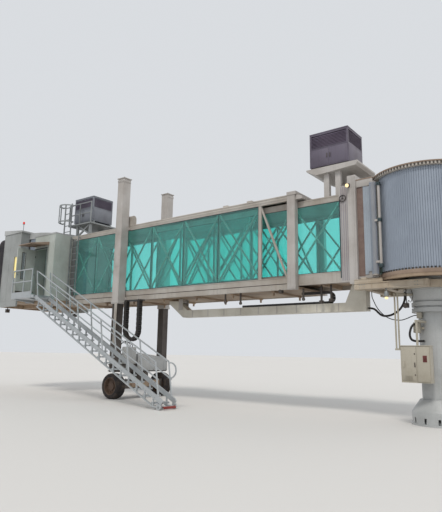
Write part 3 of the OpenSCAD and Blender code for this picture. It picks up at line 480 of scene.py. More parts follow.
# a piece made of folds, plates and blocks only
# folds: start, end, y, bottom, top, pitch, depth
# plates: start, end, y, depth, bottom, top, then the edge's size and segments
# blocks: low corner, high corner, then the edge's size and segments
def makeCover(name, spec, body):
    bm = bmesh.new()
    for add, rows in ((addFolds, "folds"), (addPlate, "plates"), (addBlock, "blocks")):
        for row in spec.get(rows, ()):
            add(bm, *row)
    makePiece(name, bm, spec["skin"], body)


# cords

power = {
    "route": [(1.7497, 0.25, 3.14), (1.7, 0.25, 3.14), (1.59, 0.25, 3.115), (1.5, 0.25, 3.045),
              (1.46, 0.25, 3.0), (1.365, 0.25, 2.925), (1.25, 0.25, 2.9), (1.1, 0.25, 2.92),
              (0.965, 0.25, 2.98), (0.845, 0.25, 3.07), (0.755, 0.25, 3.185), (0.695, 0.25, 3.325),
              (0.677, 0.25, 3.47), (0.677, 0.25, 3.5497)],
    "diameter": 0.06,
    "node": "power_cable",
    "start": (0.7, 0.25, 3.2),
    "end": (1.7, 0.25, 3.2),
}
control = {
    "route": [(1.5, 0.6, 3.59), (1.5, 0.6, 3.44), (1.45, 0.6, 3.295), (1.385, 0.6, 3.155),
              (1.3, 0.595, 3.025), (1.195, 0.595, 2.915), (1.07, 0.585, 2.825), (0.925, 0.58, 2.77),
              (0.76, 0.57, 2.75), (0.685, 0.555, 2.755), (0.62, 0.53, 2.775), (0.565, 0.49, 2.8),
              (0.515, 0.455, 2.83), (0.465, 0.42, 2.855), (0.405, 0.385, 2.88), (0.3303, 0.385, 2.88)],
    "diameter": 0.025,
    "node": "control_cable",
    "start": (0.4, 0.5, 3.0),
    "end": (1.45, 0.6, 3.0),
}


def smoothPath(points, steps=3):
    pts = [Vector(p) for p in points]
    out = []
    for i in range(len(pts) - 1):
        b, c = pts[i], pts[i + 1]
        a = pts[i - 1] if i else b * 2 - c
        d = pts[i + 2] if i + 2 < len(pts) else c * 2 - b
        for k in range(steps):
            t = k / steps
            out.append(0.5 * (2 * b + (c - a) * t + (2 * a - 5 * b + 4 * c - d) * t ** 2
                              + (3 * b - a - 3 * c + d) * t ** 3))
    return out + [pts[-1]]


def addTube(bm, points, radius, steps=14):
    rings = []
    last = len(points) - 1
    aside = Vector((0.3, 1, 0.2))  # no tube runs this way
    for i, point in enumerate(points):
        ahead = (points[min(i + 1, last)] - points[max(i - 1, 0)]).normalized()
        level = ahead.cross(aside).normalized()
        turn = Matrix((level, ahead.cross(level), ahead)).transposed().to_4x4()
        rings.append(bmesh.ops.create_circle(bm, cap_ends=False, segments=steps, radius=radius,
                                             matrix=Matrix.Translation(point) @ turn)["verts"])
    for pair in zip(rings, rings[1:]):
        edges = {e for ring in pair for v in ring for e in v.link_edges if e.other_vert(v) in ring}
        bmesh.ops.bridge_loops(bm, edges=list(edges))
    for ring in (rings[0], rings[-1]):
        bm.faces.new(ring)


def makeCord(name, spec):
    path = smoothPath(spec["route"])
    bm = bmesh.new()
    addTube(bm, path, spec["diameter"] / 2)
    obj = makePiece(name, bm, "rubber", None, 60)
    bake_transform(obj)
    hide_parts(spec["node"])


makeCord("powerCable", power)
makeCord("controlCable", control)
print("cords done")


# rotunda

rotunda = {
    "curtainRadius": 1.41,
    "curtainDegrees": (42, 139),
    "slatPitch": 0.062,
    "slatDepth": 0.012,
    "slatWall": 0.008,
    "roofRadius": 1.5,
    "toothPitch": 0.095,
    "floorToothDegrees": (44, 138),
    "dripRise": 0.072,
    "dripEdge": ((-0.004, 0), (0.014, 0), (0.018, 0.012), (0.016, 0.034), (-0.02, 0.04), (-0.06, 0.04),
                 (-0.06, 0.026), (-0.004, 0.026), (-0.004, 0)),
    "sill": ((0.018, -0.1), (0.03, -0.1), (0.032, -0.02), (0.024, 0.004), (0.008, 0.004),
             (0.018, -0.002), (0.018, -0.1)),
}
slatShape = ((0.0, 0.0), (0.12, 0.8), (0.5, 1.0), (0.88, 0.8))  # share of the pitch, share of the depth


def curtainOutline(radius, start, end, spec):
    count = max(4, round(abs(end - start) * radius / spec["slatPitch"]))
    inner = radius - spec["slatDepth"]
    stops = [(i + share, lift) for i in range(count) for share, lift in slatShape] + [(count, 0.0)]
    points = []
    for place, lift in stops:
        angle = start + (end - start) * place / count
        reach = inner + lift * spec["slatDepth"]
        points.append((reach * math.cos(angle), reach * math.sin(angle)))
    return points


def addRibbedSheet(bm, outline, low, high, rows=8):
    verts = [bm.verts.new((x, y, low)) for x, y in outline]
    edges = [bm.edges.new((a, b)) for a, b in zip(verts, verts[1:])]
    for _ in range(rows):
        made = bmesh.ops.extrude_edge_only(bm, edges=edges)["geom"]
        newVerts = [g for g in made if isinstance(g, bmesh.types.BMVert)]
        bmesh.ops.translate(bm, vec=(0, 0, (high - low) / rows), verts=newVerts)
        newEdges = [g for g in made if isinstance(g, bmesh.types.BMEdge)]
        edges = [e for e in newEdges if abs(e.verts[0].co.z - e.verts[1].co.z) < 0.0001]


def solidify(bm, thickness):
    bmesh.ops.recalc_face_normals(bm, faces=bm.faces)
    bmesh.ops.solidify(bm, geom=bm.faces[:], thickness=thickness)


def makeRotundaCurtains(spec):
    low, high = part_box("rotunda_curtains")
    start, end = (math.radians(a) for a in spec["curtainDegrees"])
    bm = bmesh.new()
    for side in sides:
        outline = curtainOutline(spec["curtainRadius"] - 0.004, side * start, side * end, spec)
        addRibbedSheet(bm, outline, low[2], high[2])
    solidify(bm, spec["slatWall"])
    obj = makePiece("rotundaSlats", bm, "slats", None, 40)
    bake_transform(obj)
    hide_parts("rotunda_curtains")


toothShare = 0.55  # of the pitch
toothTaper = 0.72
toothFaces = ((0, 1, 3, 2), (2, 3, 5, 4), (4, 5, 7, 6), (6, 7, 1, 0), (0, 2, 4, 6), (1, 7, 5, 3))


def addToothedRing(bm, radius, low, high, pitch, depth, start=0.0, end=fullTurn):
    count = round((end - start) * radius / pitch)
    half = (end - start) / count * toothShare / 2
    inner = radius - depth
    section = ((radius, high, 1.0), (radius, low, toothTaper), (inner, low, toothTaper), (inner, high, 1.0))
    for i in range(count):
        middle = start + (end - start) * (i + 0.5) / count
        corners = []
        for reach, z, taper in section:
            for sign in (-1, 1):
                angle = middle + sign * half * taper
                corners.append(bm.verts.new((reach * math.cos(angle), reach * math.sin(angle), z)))
        for face in toothFaces:
            bm.faces.new([corners[k] for k in face])


def makeRotundaTrim(spec):
    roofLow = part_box("rotunda_roof")[0][2]
    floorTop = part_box("rotunda_floor")[1][2]
    roof, wall, pitch = spec["roofRadius"], spec["curtainRadius"], spec["toothPitch"]
    start, end = (math.radians(a) for a in spec["floorToothDegrees"])
    bm = bmesh.new()
    addToothedRing(bm, roof + 0.006, roofLow + 0.004, roofLow + 0.068, pitch, 0.014)
    for a, b in ((start, end), (-end, -start)):
        addToothedRing(bm, wall + 0.024, floorTop - 0.002, floorTop + 0.05, pitch, 0.02, a, b)
    makePiece("rotundaTeeth", bm, "darkSteel", "rotunda", None)
    bm = bmesh.new()
    addSpun(bm, (0, 0, roofLow + spec["dripRise"]), [(roof + out, up) for out, up in spec["dripEdge"]], 96)
    makePiece("rotundaDripEdge", bm, "rimBrown", "rotunda", 50)
    bm = bmesh.new()
    addSpun(bm, (0, 0, floorTop), [(wall + out, up) for out, up in spec["sill"]], 96)
    makePiece("rotundaSill", bm, "rimBrown", "rotunda", 50)


makeRotundaCurtains(rotunda)
makeRotundaTrim(rotunda)
print("rotunda done")


# pedestal and cabinet

anchors = {
    "count": 12,
    "circle": 0.63,
    "plateTop": 0.04,
    "bolt": 0.0165,
    "boltTop": 0.085,
    "washer": 0.036,
    "nut": 0.03,
    "stack": (0.006, 0.034, 0.056),  # top of the washer, of the nut and of the lock nut
}
welds = {
    "heights": (0.62, 3.22),
    "bead": ((0.399, -0.012), (0.405, -0.008), (0.407, 0), (0.405, 0.008), (0.399, 0.012)),
}


def addHexNut(bm, x, y, low, high, radius):
    addRod(bm, (x, y, low), (x, y, high), radius, 6, radius * 0.94)


def makePedestalFittings(spec, seams):
    top = spec["plateTop"]
    bm = bmesh.new()
    for i in range(spec["count"]):
        angle = (i + 0.5) * fullTurn / spec["count"]
        x, y = spec["circle"] * math.cos(angle), spec["circle"] * math.sin(angle)
        addRod(bm, (x, y, top - 0.01), (x, y, top + spec["boltTop"]), spec["bolt"], 20)
        addRod(bm, (x, y, top), (x, y, top + spec["stack"][0]), spec["washer"], 24)
        for low, high in zip(spec["stack"], spec["stack"][1:]):
            addHexNut(bm, x, y, top + low, top + high, spec["nut"])
    makePiece("anchorNuts", bm, "galvanised", "rotunda", 30)
    bm = bmesh.new()
    for z in seams["heights"]:
        addSpun(bm, (0, 0, z), seams["bead"], 96)
    makePiece("pedestalWelds", bm, "paintGrey", "rotunda", 60)


footShroud = {
    "count": 12,
    "inner": 0.669,
    "outer": 0.683,
    "base": 0.04,
    "pocket": (0.055, 0.195),
    "pocketDegrees": 5.4,
    "skirt": 0.35,
    "neck": (0.448, 0.655),
    "lip": 0.045,
}


def addArcBand(bm, spec, low, high, start, end, steps):
    corners = ((spec["inner"], low), (spec["outer"], low), (spec["outer"], high), (spec["inner"], high))
    rows = []
    for k in range(steps + 1):
        angle = math.radians(start + (end - start) * k / steps)
        rows.append([bm.verts.new((r * math.cos(angle), r * math.sin(angle), z)) for r, z in corners])
    for a, b in zip(rows, rows[1:]):
        for i in range(4):
            bm.faces.new((a[i], b[i], b[i - 3], a[i - 3]))
    bm.faces.new(rows[0])
    bm.faces.new(rows[-1][::-1])


def makeFootShroud(spec):
    bm = bmesh.new()
    step = 360 / spec["count"]
    low, high = spec["pocket"]
    for i in range(spec["count"]):
        start = step * (i - 0.5) + spec["pocketDegrees"] / 2
        addArcBand(bm, spec, low - letIn, high + letIn, start, start + step - spec["pocketDegrees"], 8)
    reach, top = spec["neck"]
    inner, outer, skirt, lip = spec["inner"], spec["outer"], spec["skirt"], spec["lip"]
    foot = [(inner, spec["base"]), (outer, spec["base"]), (outer, low), (inner, low)]
    hood = [(inner, high), (outer, high), (outer, skirt - 0.01), (outer - 0.01, skirt + 0.008),
            (reach + 0.012, top), (reach - lip, top + 0.004), (reach - lip, top - 0.01),
            (reach, top - (outer - inner)), (inner - 0.006, skirt)]
    for profile in (foot, hood):
        addSpun(bm, (0, 0, 0), profile + profile[:1], 96)
    bmesh.ops.remove_doubles(bm, verts=bm.verts, dist=0.0002)
    makePiece("footShroud", bm, "paintGrey", "rotunda", 40)


cabinetParts = {
    "low": (-0.1, 1.1),
    "high": (0.66, 2.04),
    "face": 0.9,
    "seam": 0.25,
    "hinges": (1.22, 1.58, 1.92),
    "handle": (1.5, 1.62),
    "locks": (1.3, 1.84),
    "lock": ((0.007, 0.013), (0.017, 0.02), (0.012, 0.024), (0, 0.024)),
    "vents": 7,
    "ventLow": 1.16,
    "ventStep": 0.018,
    "ventEnds": (0.36, 0.56),
    "switch": (-0.02, 0.085, 1.63, 1.80),
}


def makeCabinetTrim(spec):
    (x0, z0), (x1, z1) = spec["low"], spec["high"]
    seam, face = spec["seam"], spec["face"]
    bm = bmesh.new()
    addBlock(bm, (x0 + 0.02, face - letIn, z0 + 0.03), (seam - 0.006, face + 0.02, z1 - 0.02), 0.006)
    addBlock(bm, (seam + 0.006, face - letIn, z0 + 0.05), (x1 - 0.02, face + 0.012, z1 - 0.02), 0.006)
    for x in (x0 + 0.022, x1 - 0.022):
        for z in spec["hinges"]:
            addRod(bm, (x, face + 0.008, z - 0.035), (x, face + 0.008, z + 0.035), 0.009, 12)
    makePiece("cabinetDoors", bm, "cabinet", "rotunda")
    bm = bmesh.new()
    low, high = spec["handle"]
    addBlock(bm, (seam + 0.03, face + 0.012, low), (seam + 0.055, face + 0.035, high), 0.005)
    for z in spec["locks"]:
        addSpun(bm, (seam + 0.043, face, z), spec["lock"], 20, across)
    makePiece("cabinetHandle", bm, "darkSteel", "rotunda")
    bm = bmesh.new()
    start, end = spec["ventEnds"]
    for k in range(spec["vents"]):
        z = spec["ventLow"] + k * spec["ventStep"]
        addBlock(bm, (start, face + 0.012, z), (end, face + 0.02, z + 0.006), 0.002)
    makePiece("cabinetVents", bm, "cabinet", "rotunda")
    x0, x1, z0, z1 = spec["switch"]
    x, z = (x0 + x1) / 2, (z0 + z1) / 2
    bm = bmesh.new()
    addBlock(bm, (x0, face + 0.018, z0), (x1, face + 0.026, z1), 0.004)
    addRod(bm, (x, face + 0.025, z), (x, face + 0.04, z), 0.026, 24, 0.022)
    addBlock(bm, (x - 0.007, face + 0.038, z - 0.03), (x + 0.007, face + 0.052, z + 0.03), 0.004)
    makePiece("cabinetSwitch", bm, "handleRed", "rotunda")


conduitLoop = {
    "route": [(0.31, 0.56, 2.62), (0.315, 0.66, 2.625), (0.34, 0.74, 2.605), (0.385, 0.775, 2.53),
              (0.42, 0.78, 2.42), (0.43, 0.775, 2.32), (0.405, 0.745, 2.225), (0.35, 0.68, 2.185),
              (0.28, 0.55, 2.18), (0.19, 0.37, 2.19)],
    "radius": 0.03,
}
junctionCover = {
    "box": ((0.235, 0.40, 2.40), (0.39, 0.60, 2.68), 0.012),
    "lid": ((0.242, 0.598, 2.41), (0.383, 0.612, 2.67), 0.004),
    "arm": ((0.16, 0.30, 2.50), (0.26, 0.44, 2.56), 0.008),
    "screwX": (0.258, 0.367),
    "screwY": (0.61, 0.617),
    "screwZ": (2.43, 2.65),
}
frameLamp = {
    "stem": ((0.5, 0.70, 3.2), (0.5, 0.70, 3.592)),
    "body": ((0.44, 0.645, 3.07), (0.56, 0.755, 3.2)),
    "snout": ((0.5, 0.75, 3.13), (0.51, 0.81, 3.11)),
    "flex": [(0.47, 0.7, 3.19), (0.44, 0.7, 3.27), (0.4, 0.69, 3.22), (0.36, 0.68, 3.28),
             (0.33, 0.66, 3.4), (0.36, 0.66, 3.52), (0.38, 0.66, 3.595)],
}


def makeConduitLoop(spec):
    bm = bmesh.new()
    addTube(bm, smoothPath(spec["route"], 4), spec["radius"], 16)
    makePiece("conduitLoop", bm, "rubber", "rotunda", 60)


def makeJunctionCover(spec):
    bm = bmesh.new()
    for part in ("box", "lid", "arm"):
        addBlock(bm, *spec[part])
    y0, y1 = spec["screwY"]
    for x in spec["screwX"]:
        for z in spec["screwZ"]:
            addRod(bm, (x, y0, z), (x, y1, z), 0.008, 8)
    makePiece("junctionCover", bm, "cabinet", "rotunda")


def makeFrameLamp(spec):
    bm = bmesh.new()
    addRod(bm, *spec["stem"], 0.014, 12)
    addBlock(bm, *spec["body"], 0.014)
    addRod(bm, *spec["snout"], 0.05, 24, 0.062)
    addTube(bm, smoothPath(spec["flex"], 4), 0.008, 8)
    makePiece("floodHousing", bm, "darkSteel", "swing_throat", 40)


makePedestalFittings(anchors, welds)
makeFootShroud(footShroud)
makeCabinetTrim(cabinetParts)
makeConduitLoop(conduitLoop)
makeJunctionCover(junctionCover)
makeFrameLamp(frameLamp)
print("pedestal done")


# throat

throatCovers = {
    "throatPosts": {
        "skin": "paintWhite", "slot": "paint_white",
        "folds": [(1.705, 1.80, 1.08, 3.82, 6.96, 0.048, 0.014)],
        "plates": [(1.812, 1.93, 1.079, 0.006, 3.82, 6.96)],
    },
    "throatFolds": {
        "skin": "foldGrey", "slot": "paint_white",
        "folds": [(1.965, 2.225, 0.99, 3.9, 6.72, 0.065, 0.014)],
    },
    # The seal plates that fill the throat gap carry the gap's shade as a painted brown.
    "throatSeals": {
        "skin": "sealBrown", "slot": "frame_brown",
        "plates": [(1.508, 1.697, 0.989, 0.006, 3.98, 6.64)]
                  + [(x, x + 0.012, 0.994, 0.006, 3.99, 6.63, 0.001) for x in (1.53, 1.575, 1.62, 1.665)],
    },
    "throatGasket": {
        "skin": "gasket", "slot": "rubber",
        "plates": [(2.226, 2.258, 0.989, 0.01, 3.98, 6.36)],
    },
    "throatPanels": {
        "skin": "panelBlue", "slot": "slats",
        "plates": [(1.402, 1.504, 0.989, 0.02, 4.02, 6.62), (1.292, 1.404, 1.007, 0.010, 4.10, 6.59)],
        "folds": [(1.30, 1.40, 1.016, 4.11, 6.58, 0.052, 0.007),
                  (1.41, 1.50, 1.008, 4.03, 6.61, 0.045, 0.007)],
    },
    "throatStrips": {
        "skin": "foldGrey", "slot": "paint_white",
        "folds": [(1.155, 1.285, 1.007, 4.10, 6.59, 0.043, 0.012)],
    },
    "throatHood": {
        "skin": "paintWhite", "slot": "paint_white",
        "plates": [(1.2, 1.712, 1.0, 0.03, 6.61, 6.83, 0.005, 2),
                   (1.22, 1.71, 0.965, 0.04, 6.69, 6.82, 0.005, 2)],
        "blocks": [((1.54, -1.0, 6.69), (1.705, 1.0, 6.82), 0.006)],
    },
    "throatHoodEdge": {
        "skin": "rimBrown", "slot": "rim_brown",
        "plates": [(1.195, 1.71, 0.985, 0.055, 6.818, 6.848, 0.004, 2)],
    },
}
rollers = {
    "place": (1.18, 1.085),
    "radius": 0.084,
    "slats": 28,
    "slatRadius": 0.006,
    "rise": (4.0, 6.65),
    "clampPlace": (0.985, 1.15),
    "clampHeights": (4.22, 5.51, 6.56),
}
handRing = {
    "centre": (2.135, 1.018, 6.36),
    "radius": 0.1,
    "thickness": 0.011,
    "spokes": (90, 210, 330),
}
floodLamp = {
    "bracket": ((1.86, 1.078, 6.64), (1.94, 1.1, 6.76)),
    "arm": ((1.9, 1.1, 6.7), (1.9, 1.14, 6.69)),
    "bowl": ((1.9, 1.13, 6.695), (1.9, 1.21, 6.665)),
    "lens": ((1.9, 1.2085, 6.6656), (1.9, 1.214, 6.6635)),
}


def makeRollers(spec):
    x, y = spec["place"]
    low, high = spec["rise"]
    bm = bmesh.new()
    for side in sides:
        for along, out in roundProfile(0, spec["radius"], spec["slats"])[:-1]:
            foot = (x + along, side * y + out)
            addRod(bm, foot + (low,), foot + (high,), spec["slatRadius"], 8)
    makePiece("rollerSlats", bm, "slats", "swing_throat", 50)
    x, y = spec["clampPlace"]
    bm = bmesh.new()
    for z in spec["clampHeights"]:
        addPlate(bm, x - 0.05, x + 0.05, y - 0.055, 0.11, z - 0.05, z + 0.05, 0.008, 2)
        for side in sides:
            addRod(bm, (x, side * y - 0.075, z), (x, side * y + 0.075, z), 0.012, 12)
    makePiece("guideClamps", bm, "gasket", "swing_throat")


def makeHandRing(spec):
    centre = Vector(spec["centre"])
    bm = bmesh.new()
    addSpun(bm, centre, roundProfile(spec["radius"], spec["thickness"], 8), 40, across)
    for degrees in spec["spokes"]:
        a = math.radians(degrees)
        addRod(bm, centre, centre + Vector((math.cos(a), 0, math.sin(a))) * spec["radius"], 0.007, 10)
    addRod(bm, centre + Vector((0, -0.03, 0)), centre + Vector((0, 0.012, 0)), 0.022, 20)
    makePiece("handRing", bm, "chain", "swing_throat", 50)


def makeFloodLamp(spec):
    bm = bmesh.new()
    addBlock(bm, *spec["bracket"], 0.006)
    addRod(bm, *spec["arm"], 0.014, 12)
    addRod(bm, *spec["bowl"], 0.045, 24, 0.062)
    makePiece("floodLamp", bm, "darkSteel", "swing_throat", 40)
    bm = bmesh.new()
    addRod(bm, *spec["lens"], 0.057, 24, 0.052)
    makePiece("floodLens", bm, "lampWarm", "swing_throat", 40)


swing = {
    "flange": (-0.196, 1.796),
    "flangeHeight": 0.022,
    "webTop": 3.775,
    "stiffeners": (-0.12, 0.35, 0.82, 1.29, 1.74),
    "boltX": (0.05, 0.12, 1.5, 1.57, 1.64),
    "boltY": (1.128, 1.142),
    "boltZ": (3.63, 3.72),
}
swingCaps = {
    "skin": "swingTan", "slot": "frame_brown",
    "plates": [(0.985, 1.797, 1.09, 0.041, 3.772, 3.874, 0.005, 2)],
    "blocks": [((0.985, 1.09, 3.862), (1.797, 1.142, 3.88), 0.004),
               ((0.985, -1.14, 3.862), (1.797, -1.09, 3.88), 0.004)],
}
underLamp = {
    "place": (0.92, 1.05),
    "stem": (3.60, 3.5),
    "shadeAt": 3.4,
    "shade": ((0, 0.12), (0.045, 0.11), (0.065, 0.06), (0.06, -0.02), (0.04, -0.04), (0, -0.045)),
    "lensAt": 3.32,
    "lens": ((0, 0.035), (0.035, 0.032), (0.05, 0.01), (0.035, -0.02), (0, -0.03)),
}


def makeSwingFlanges(spec):
    low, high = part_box("swing_frame")
    start, end = spec["flange"]
    bottom, face, thick = low[2], high[1] - letIn, spec["flangeHeight"]
    bm = bmesh.new()
    for z in (bottom + 0.004, spec["webTop"] - 0.026):
        addPlate(bm, start, end, face, 0.022, z, z + thick)
    for x in spec["stiffeners"]:
        addPlate(bm, x, x + 0.014, face, 0.018, bottom + 0.02, spec["webTop"] - 0.02, 0.002)
    makePiece("swingFlanges", bm, "swingTan", "swing_throat")


def makeSwingBolts(spec):
    y0, y1 = spec["boltY"]
    bm = bmesh.new()
    for side in sides:
        for x in spec["boltX"]:
            for z in spec["boltZ"]:
                addRod(bm, (x, side * y0, z), (x, side * y1, z), 0.013, 6)
    makePiece("swingBolts", bm, "galvanised", "swing_throat", 30)


def makeUnderLamp(spec):
    place = spec["place"]
    top, foot = spec["stem"]
    bm = bmesh.new()
    addRod(bm, place + (top,), place + (foot,), 0.02, 12)
    addSpun(bm, place + (spec["shadeAt"],), spec["shade"], 28)
    makePiece("underLampShade", bm, "galvanised", "swing_throat", 40)
    bm = bmesh.new()
    addSpun(bm, place + (spec["lensAt"],), spec["lens"], 28)
    makePiece("underLampLens", bm, "lampWarm", "swing_throat", 60)


for name, spec in throatCovers.items():
    makeCover(name, spec, "swing_throat")
makeRollers(rollers)
makeHandRing(handRing)
makeFloodLamp(floodLamp)
makeSwingFlanges(swing)
makeCover("swingCaps", swingCaps, "swing_throat")
makeSwingBolts(swing)
makeUnderLamp(underLamp)
print("throat done")


# tunnels

panes = {
    "outerJoints": (6.765, 8.38, 10.02, 11.66, 13.32),
    "outerPair": (-0.022, 0.010),  # the two strips beside each joint
    "outerFrame": 0.022,
    "innerJoints": (3.89, 5.49, 7.09, 8.69),
    "innerFrame": 0.018,
    "innerPost": 0.03,
}


def makeGaskets(spec):
    (x0, _, z0), (x1, y, z1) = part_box("tunnel_b_glass")
    width = spec["outerFrame"]
    bm = bmesh.new()
    for x in spec["outerJoints"]:
        for shift in spec["outerPair"]:
            addPlate(bm, x + shift, x + shift + 0.012, y - letIn, 0.005, z0, z1, 0.0015)
    for z in (z0, z1 - width):
        addPlate(bm, x0, x1, y - letIn, 0.006, z, z + width, 0.002)
    for x in (x0, x1 - width):
        addPlate(bm, x, x + width, y - letIn, 0.006, z0, z1, 0.002)
    makePiece("outerGaskets", bm, "gasket", "tunnel_b")
    (x0, _, z0), (x1, y, z1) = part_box("tunnel_a_glass")
    width = spec["innerFrame"]
    bm = bmesh.new()
    for x in spec["innerJoints"]:
        addPlate(bm, x - 0.008, x + 0.008, y - letIn, 0.004, z0, z1, 0.0015)
    for z in (z0, z1 - width):
        addPlate(bm, x0, x1, y - letIn, 0.005, z, z + width, 0.002)
    addPlate(bm, x0, x0 + spec["innerPost"], y - letIn, 0.008, z0, z1, 0.002)
    makePiece("innerGaskets", bm, "gasket", "tunnel_a")


# flange rows: bottom, top, depth, edge
outerShell = {
    "flanges": ((4.098, 4.126, 0.012, 0.003), (3.742, 3.905, 0.010, 0.004), (6.584, 6.606, 0.012, 0.003),
                (6.66, 6.688, 0.010, 0.003)),
    "shadowJoint": ((3.912, 3.935, 0.004, 0.001),),
    "bolts": 26,
    "boltMargin": 0.12,
    "boltRows": ((3.78, 0.018), (3.87, 0.018), (6.635, 0.008)),  # height, reach
}
endRack = {
    "columns": (14.715, 14.86),
    "barLength": 0.105,
    "barY": 1.052,
    "barDepth": 0.014,
    "bars": 34,
    "low": 4.08,
    "step": 0.075,
    "backing": (14.69, 14.985, 1.0445, 0.0095, 4.06, 6.64, 0.002),
}
underFrame = {
    "ribs": (4.6, 6.2, 7.8, 9.4, 11.0, 12.6, 14.2),
    "hangerY": (0.83, 0.06),
    "hangerLow": 3.60,
    "barReach": 0.95,
    "barLow": 3.70,
    "top": 3.762,
}
portalCover = {
    "skin": "paintWhite", "slot": "paint_white",
    "plates": [(3.71, 3.98, 1.089, 0.010, 3.76, 6.73, 0.004)],
    "folds": [(3.72, 3.97, 1.098, 3.8, 6.7, 0.125, 0.010)],
}
innerShell = {
    "start": 2.27,
    "flanges": ((4.172, 4.196, 0.009, 0.003), (3.866, 3.9, 0.009, 0.003), (6.356, 6.376, 0.009, 0.003),
                (6.505, 6.545, 0.012, 0.003)),
}


def makeFlanges(name, rows, start, end, y, skin, body):
    bm = bmesh.new()
    for low, high, depth, edge in rows:
        addPlate(bm, start, end, y - letIn, depth, low, high, edge)
    makePiece(name, bm, skin, body)


def makeOuterShell(spec):
    low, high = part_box("tunnel_b_side_near")
    start, end, y = low[0] + 0.04, high[0] - 0.01, high[1]
    makeFlanges("outerFlanges", spec["flanges"], start, end, y, "tunnelPaint", "tunnel_b")
    joint = spec["shadowJoint"]
    makeFlanges("outerShadowJoint", joint, start, end, y, "darkSteel", "tunnel_b")
    count, margin = spec["bolts"], spec["boltMargin"]
    bm = bmesh.new()
    for side in sides:
        for i in range(count):
            x = start + margin + (end - start - 2 * margin) * i / (count - 1)
            for z, reach in spec["boltRows"]:
                addRod(bm, (x, side * (y - letIn), z), (x, side * (y + reach), z), 0.011, 8)
    makePiece("outerBolts", bm, "galvanised", "tunnel_b", 30)


def makeEndRack(spec):
    length, y, depth, step = spec["barLength"], spec["barY"], spec["barDepth"], spec["step"]
    bm = bmesh.new()
    for k in range(spec["bars"]):
        z = spec["low"] + step * k
        for x in spec["columns"]:
            addPlate(bm, x, x + length, y, depth, z, z + step * 0.6, 0.004)
    addPlate(bm, *spec["backing"])
    makePiece("endRack", bm, "rackGrey", "tunnel_b")


def makeUnderFrame(spec):
    reach, top = spec["barReach"], spec["top"]
    bm = bmesh.new()
    for x in spec["ribs"]:
        addPlate(bm, x, x + 0.05, *spec["hangerY"], spec["hangerLow"], top, 0.005)
        addBlock(bm, (x - 0.01, -reach, spec["barLow"]), (x + 0.06, reach, top), 0.006, 1)
    makePiece("underFrameRibs", bm, "frameBrown", "tunnel_b")


def makeInnerShell(spec):
    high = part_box("tunnel_a_side_near")[1]
    start, end, y = spec["start"], high[0] - 0.01, high[1]
    makeFlanges("innerFlanges", spec["flanges"], start, end, y, "tunnelPaint", "tunnel_a")


# hangers: x, foot height
hangers = {
    "inner": ((2.72, 3.40), (3.04, 3.36)),
    "innerY": 0.63,
    "innerTop": 3.861,
    "outer": ((3.52, 3.46), (5.87, 3.44), (6.5, 3.5)),
    "outerY": 0.89,
    "outerTop": 3.762,
    "bell": ((0, 0.03), (0.043, 0.02), (0.053, -0.05), (0.028, -0.07), (0, -0.075)),
    "roller": ((4.27, 0.93, 3.70), (4.27, 1.07, 3.70)),
    "rollerArm": ((4.2, 0.96, 3.66), (4.34, 1.0, 3.77)),
}
trough = {
    "cheeks": (0.09, 0.43),
    "cheekSpan": (8.86, 9.06, 3.34, 3.74),
    "pulley": ((8.96, 0.085, 3.66), (8.96, 0.447, 3.66)),
    "bands": 9,
    "firstBand": 2.6,
    "bandStep": 0.72,
    "bandY": ((0.094, 0.1005), (0.4195, 0.426)),
    "bandRise": (3.07, 3.31),
}


def makeHangers(spec):
    y, top = spec["innerY"], spec["innerTop"]
    bm = bmesh.new()
    for x, low in spec["inner"]:
        addBlock(bm, (x, y - 0.03, low), (x + 0.05, y + 0.03, top), 0.005, 1)
        addBlock(bm, (x - 0.03, y - 0.07, low - 0.05), (x + 0.08, y + 0.07, low + 0.04), 0.012)
    makePiece("innerHangers", bm, "darkSteel", "tunnel_a")
    y, top = spec["outerY"], spec["outerTop"]
    bm = bmesh.new()
    for x, low in spec["outer"]:
        addBlock(bm, (x, y - 0.03, low), (x + 0.045, y + 0.03, top), 0.005, 1)
        addSpun(bm, (x + 0.022, y, low), spec["bell"], 24)
    addRod(bm, *spec["roller"], 0.055, 24)
    addBlock(bm, *spec["rollerArm"], 0.01)
    makePiece("outerHangers", bm, "darkSteel", "tunnel_b")


def makeTroughFittings(spec):
    x0, x1, z0, z1 = spec["cheekSpan"]
    low, high = spec["bandRise"]
    bm = bmesh.new()
    for y in spec["cheeks"]:
        addBlock(bm, (x0, y, z0), (x1, y + 0.012, z1), 0.004, 1)
    addRod(bm, *spec["pulley"], 0.045, 24)
    for k in range(spec["bands"]):
        x = spec["firstBand"] + spec["bandStep"] * k
        for y0, y1 in spec["bandY"]:
            addBlock(bm, (x, y0, low), (x + 0.03, y1, high), 0.002, 1)
    makePiece("troughFittings", bm, "paintWhite", "tunnel_a")


roofSeams = {
    "seams": (4.9, 6.1, 7.55, 9.15, 10.75, 12.35),
    "seamReach": 1.03,
    "deck": 6.778,
    "edges": (-1.045, 1.015),
    "edgeEnds": (4.05, 14.98),
    "edgeRise": (6.74, 6.79),
    "conduits": (-0.62, -0.55),
    "conduitEnds": (4.2, 13.8),
    "conduitHeight": 6.81,
    "clipY": (-0.66, -0.51),
    "clips": 9,
    "firstClip": 4.4,
    "clipStep": 1.13,
}


def makeRoofSeams(spec):
    reach, deck = spec["seamReach"], spec["deck"]
    start, end = spec["edgeEnds"]
    low, high = spec["edgeRise"]
    bm = bmesh.new()
    for x in spec["seams"]:
        addBlock(bm, (x, -reach, deck), (x + 0.05, reach, deck + 0.017), 0.005)
    for y in spec["edges"]:
        addBlock(bm, (start, y, low), (end, y + 0.03, high), 0.005)
    makePiece("roofSeams", bm, "roofPaint", "tunnel_b")


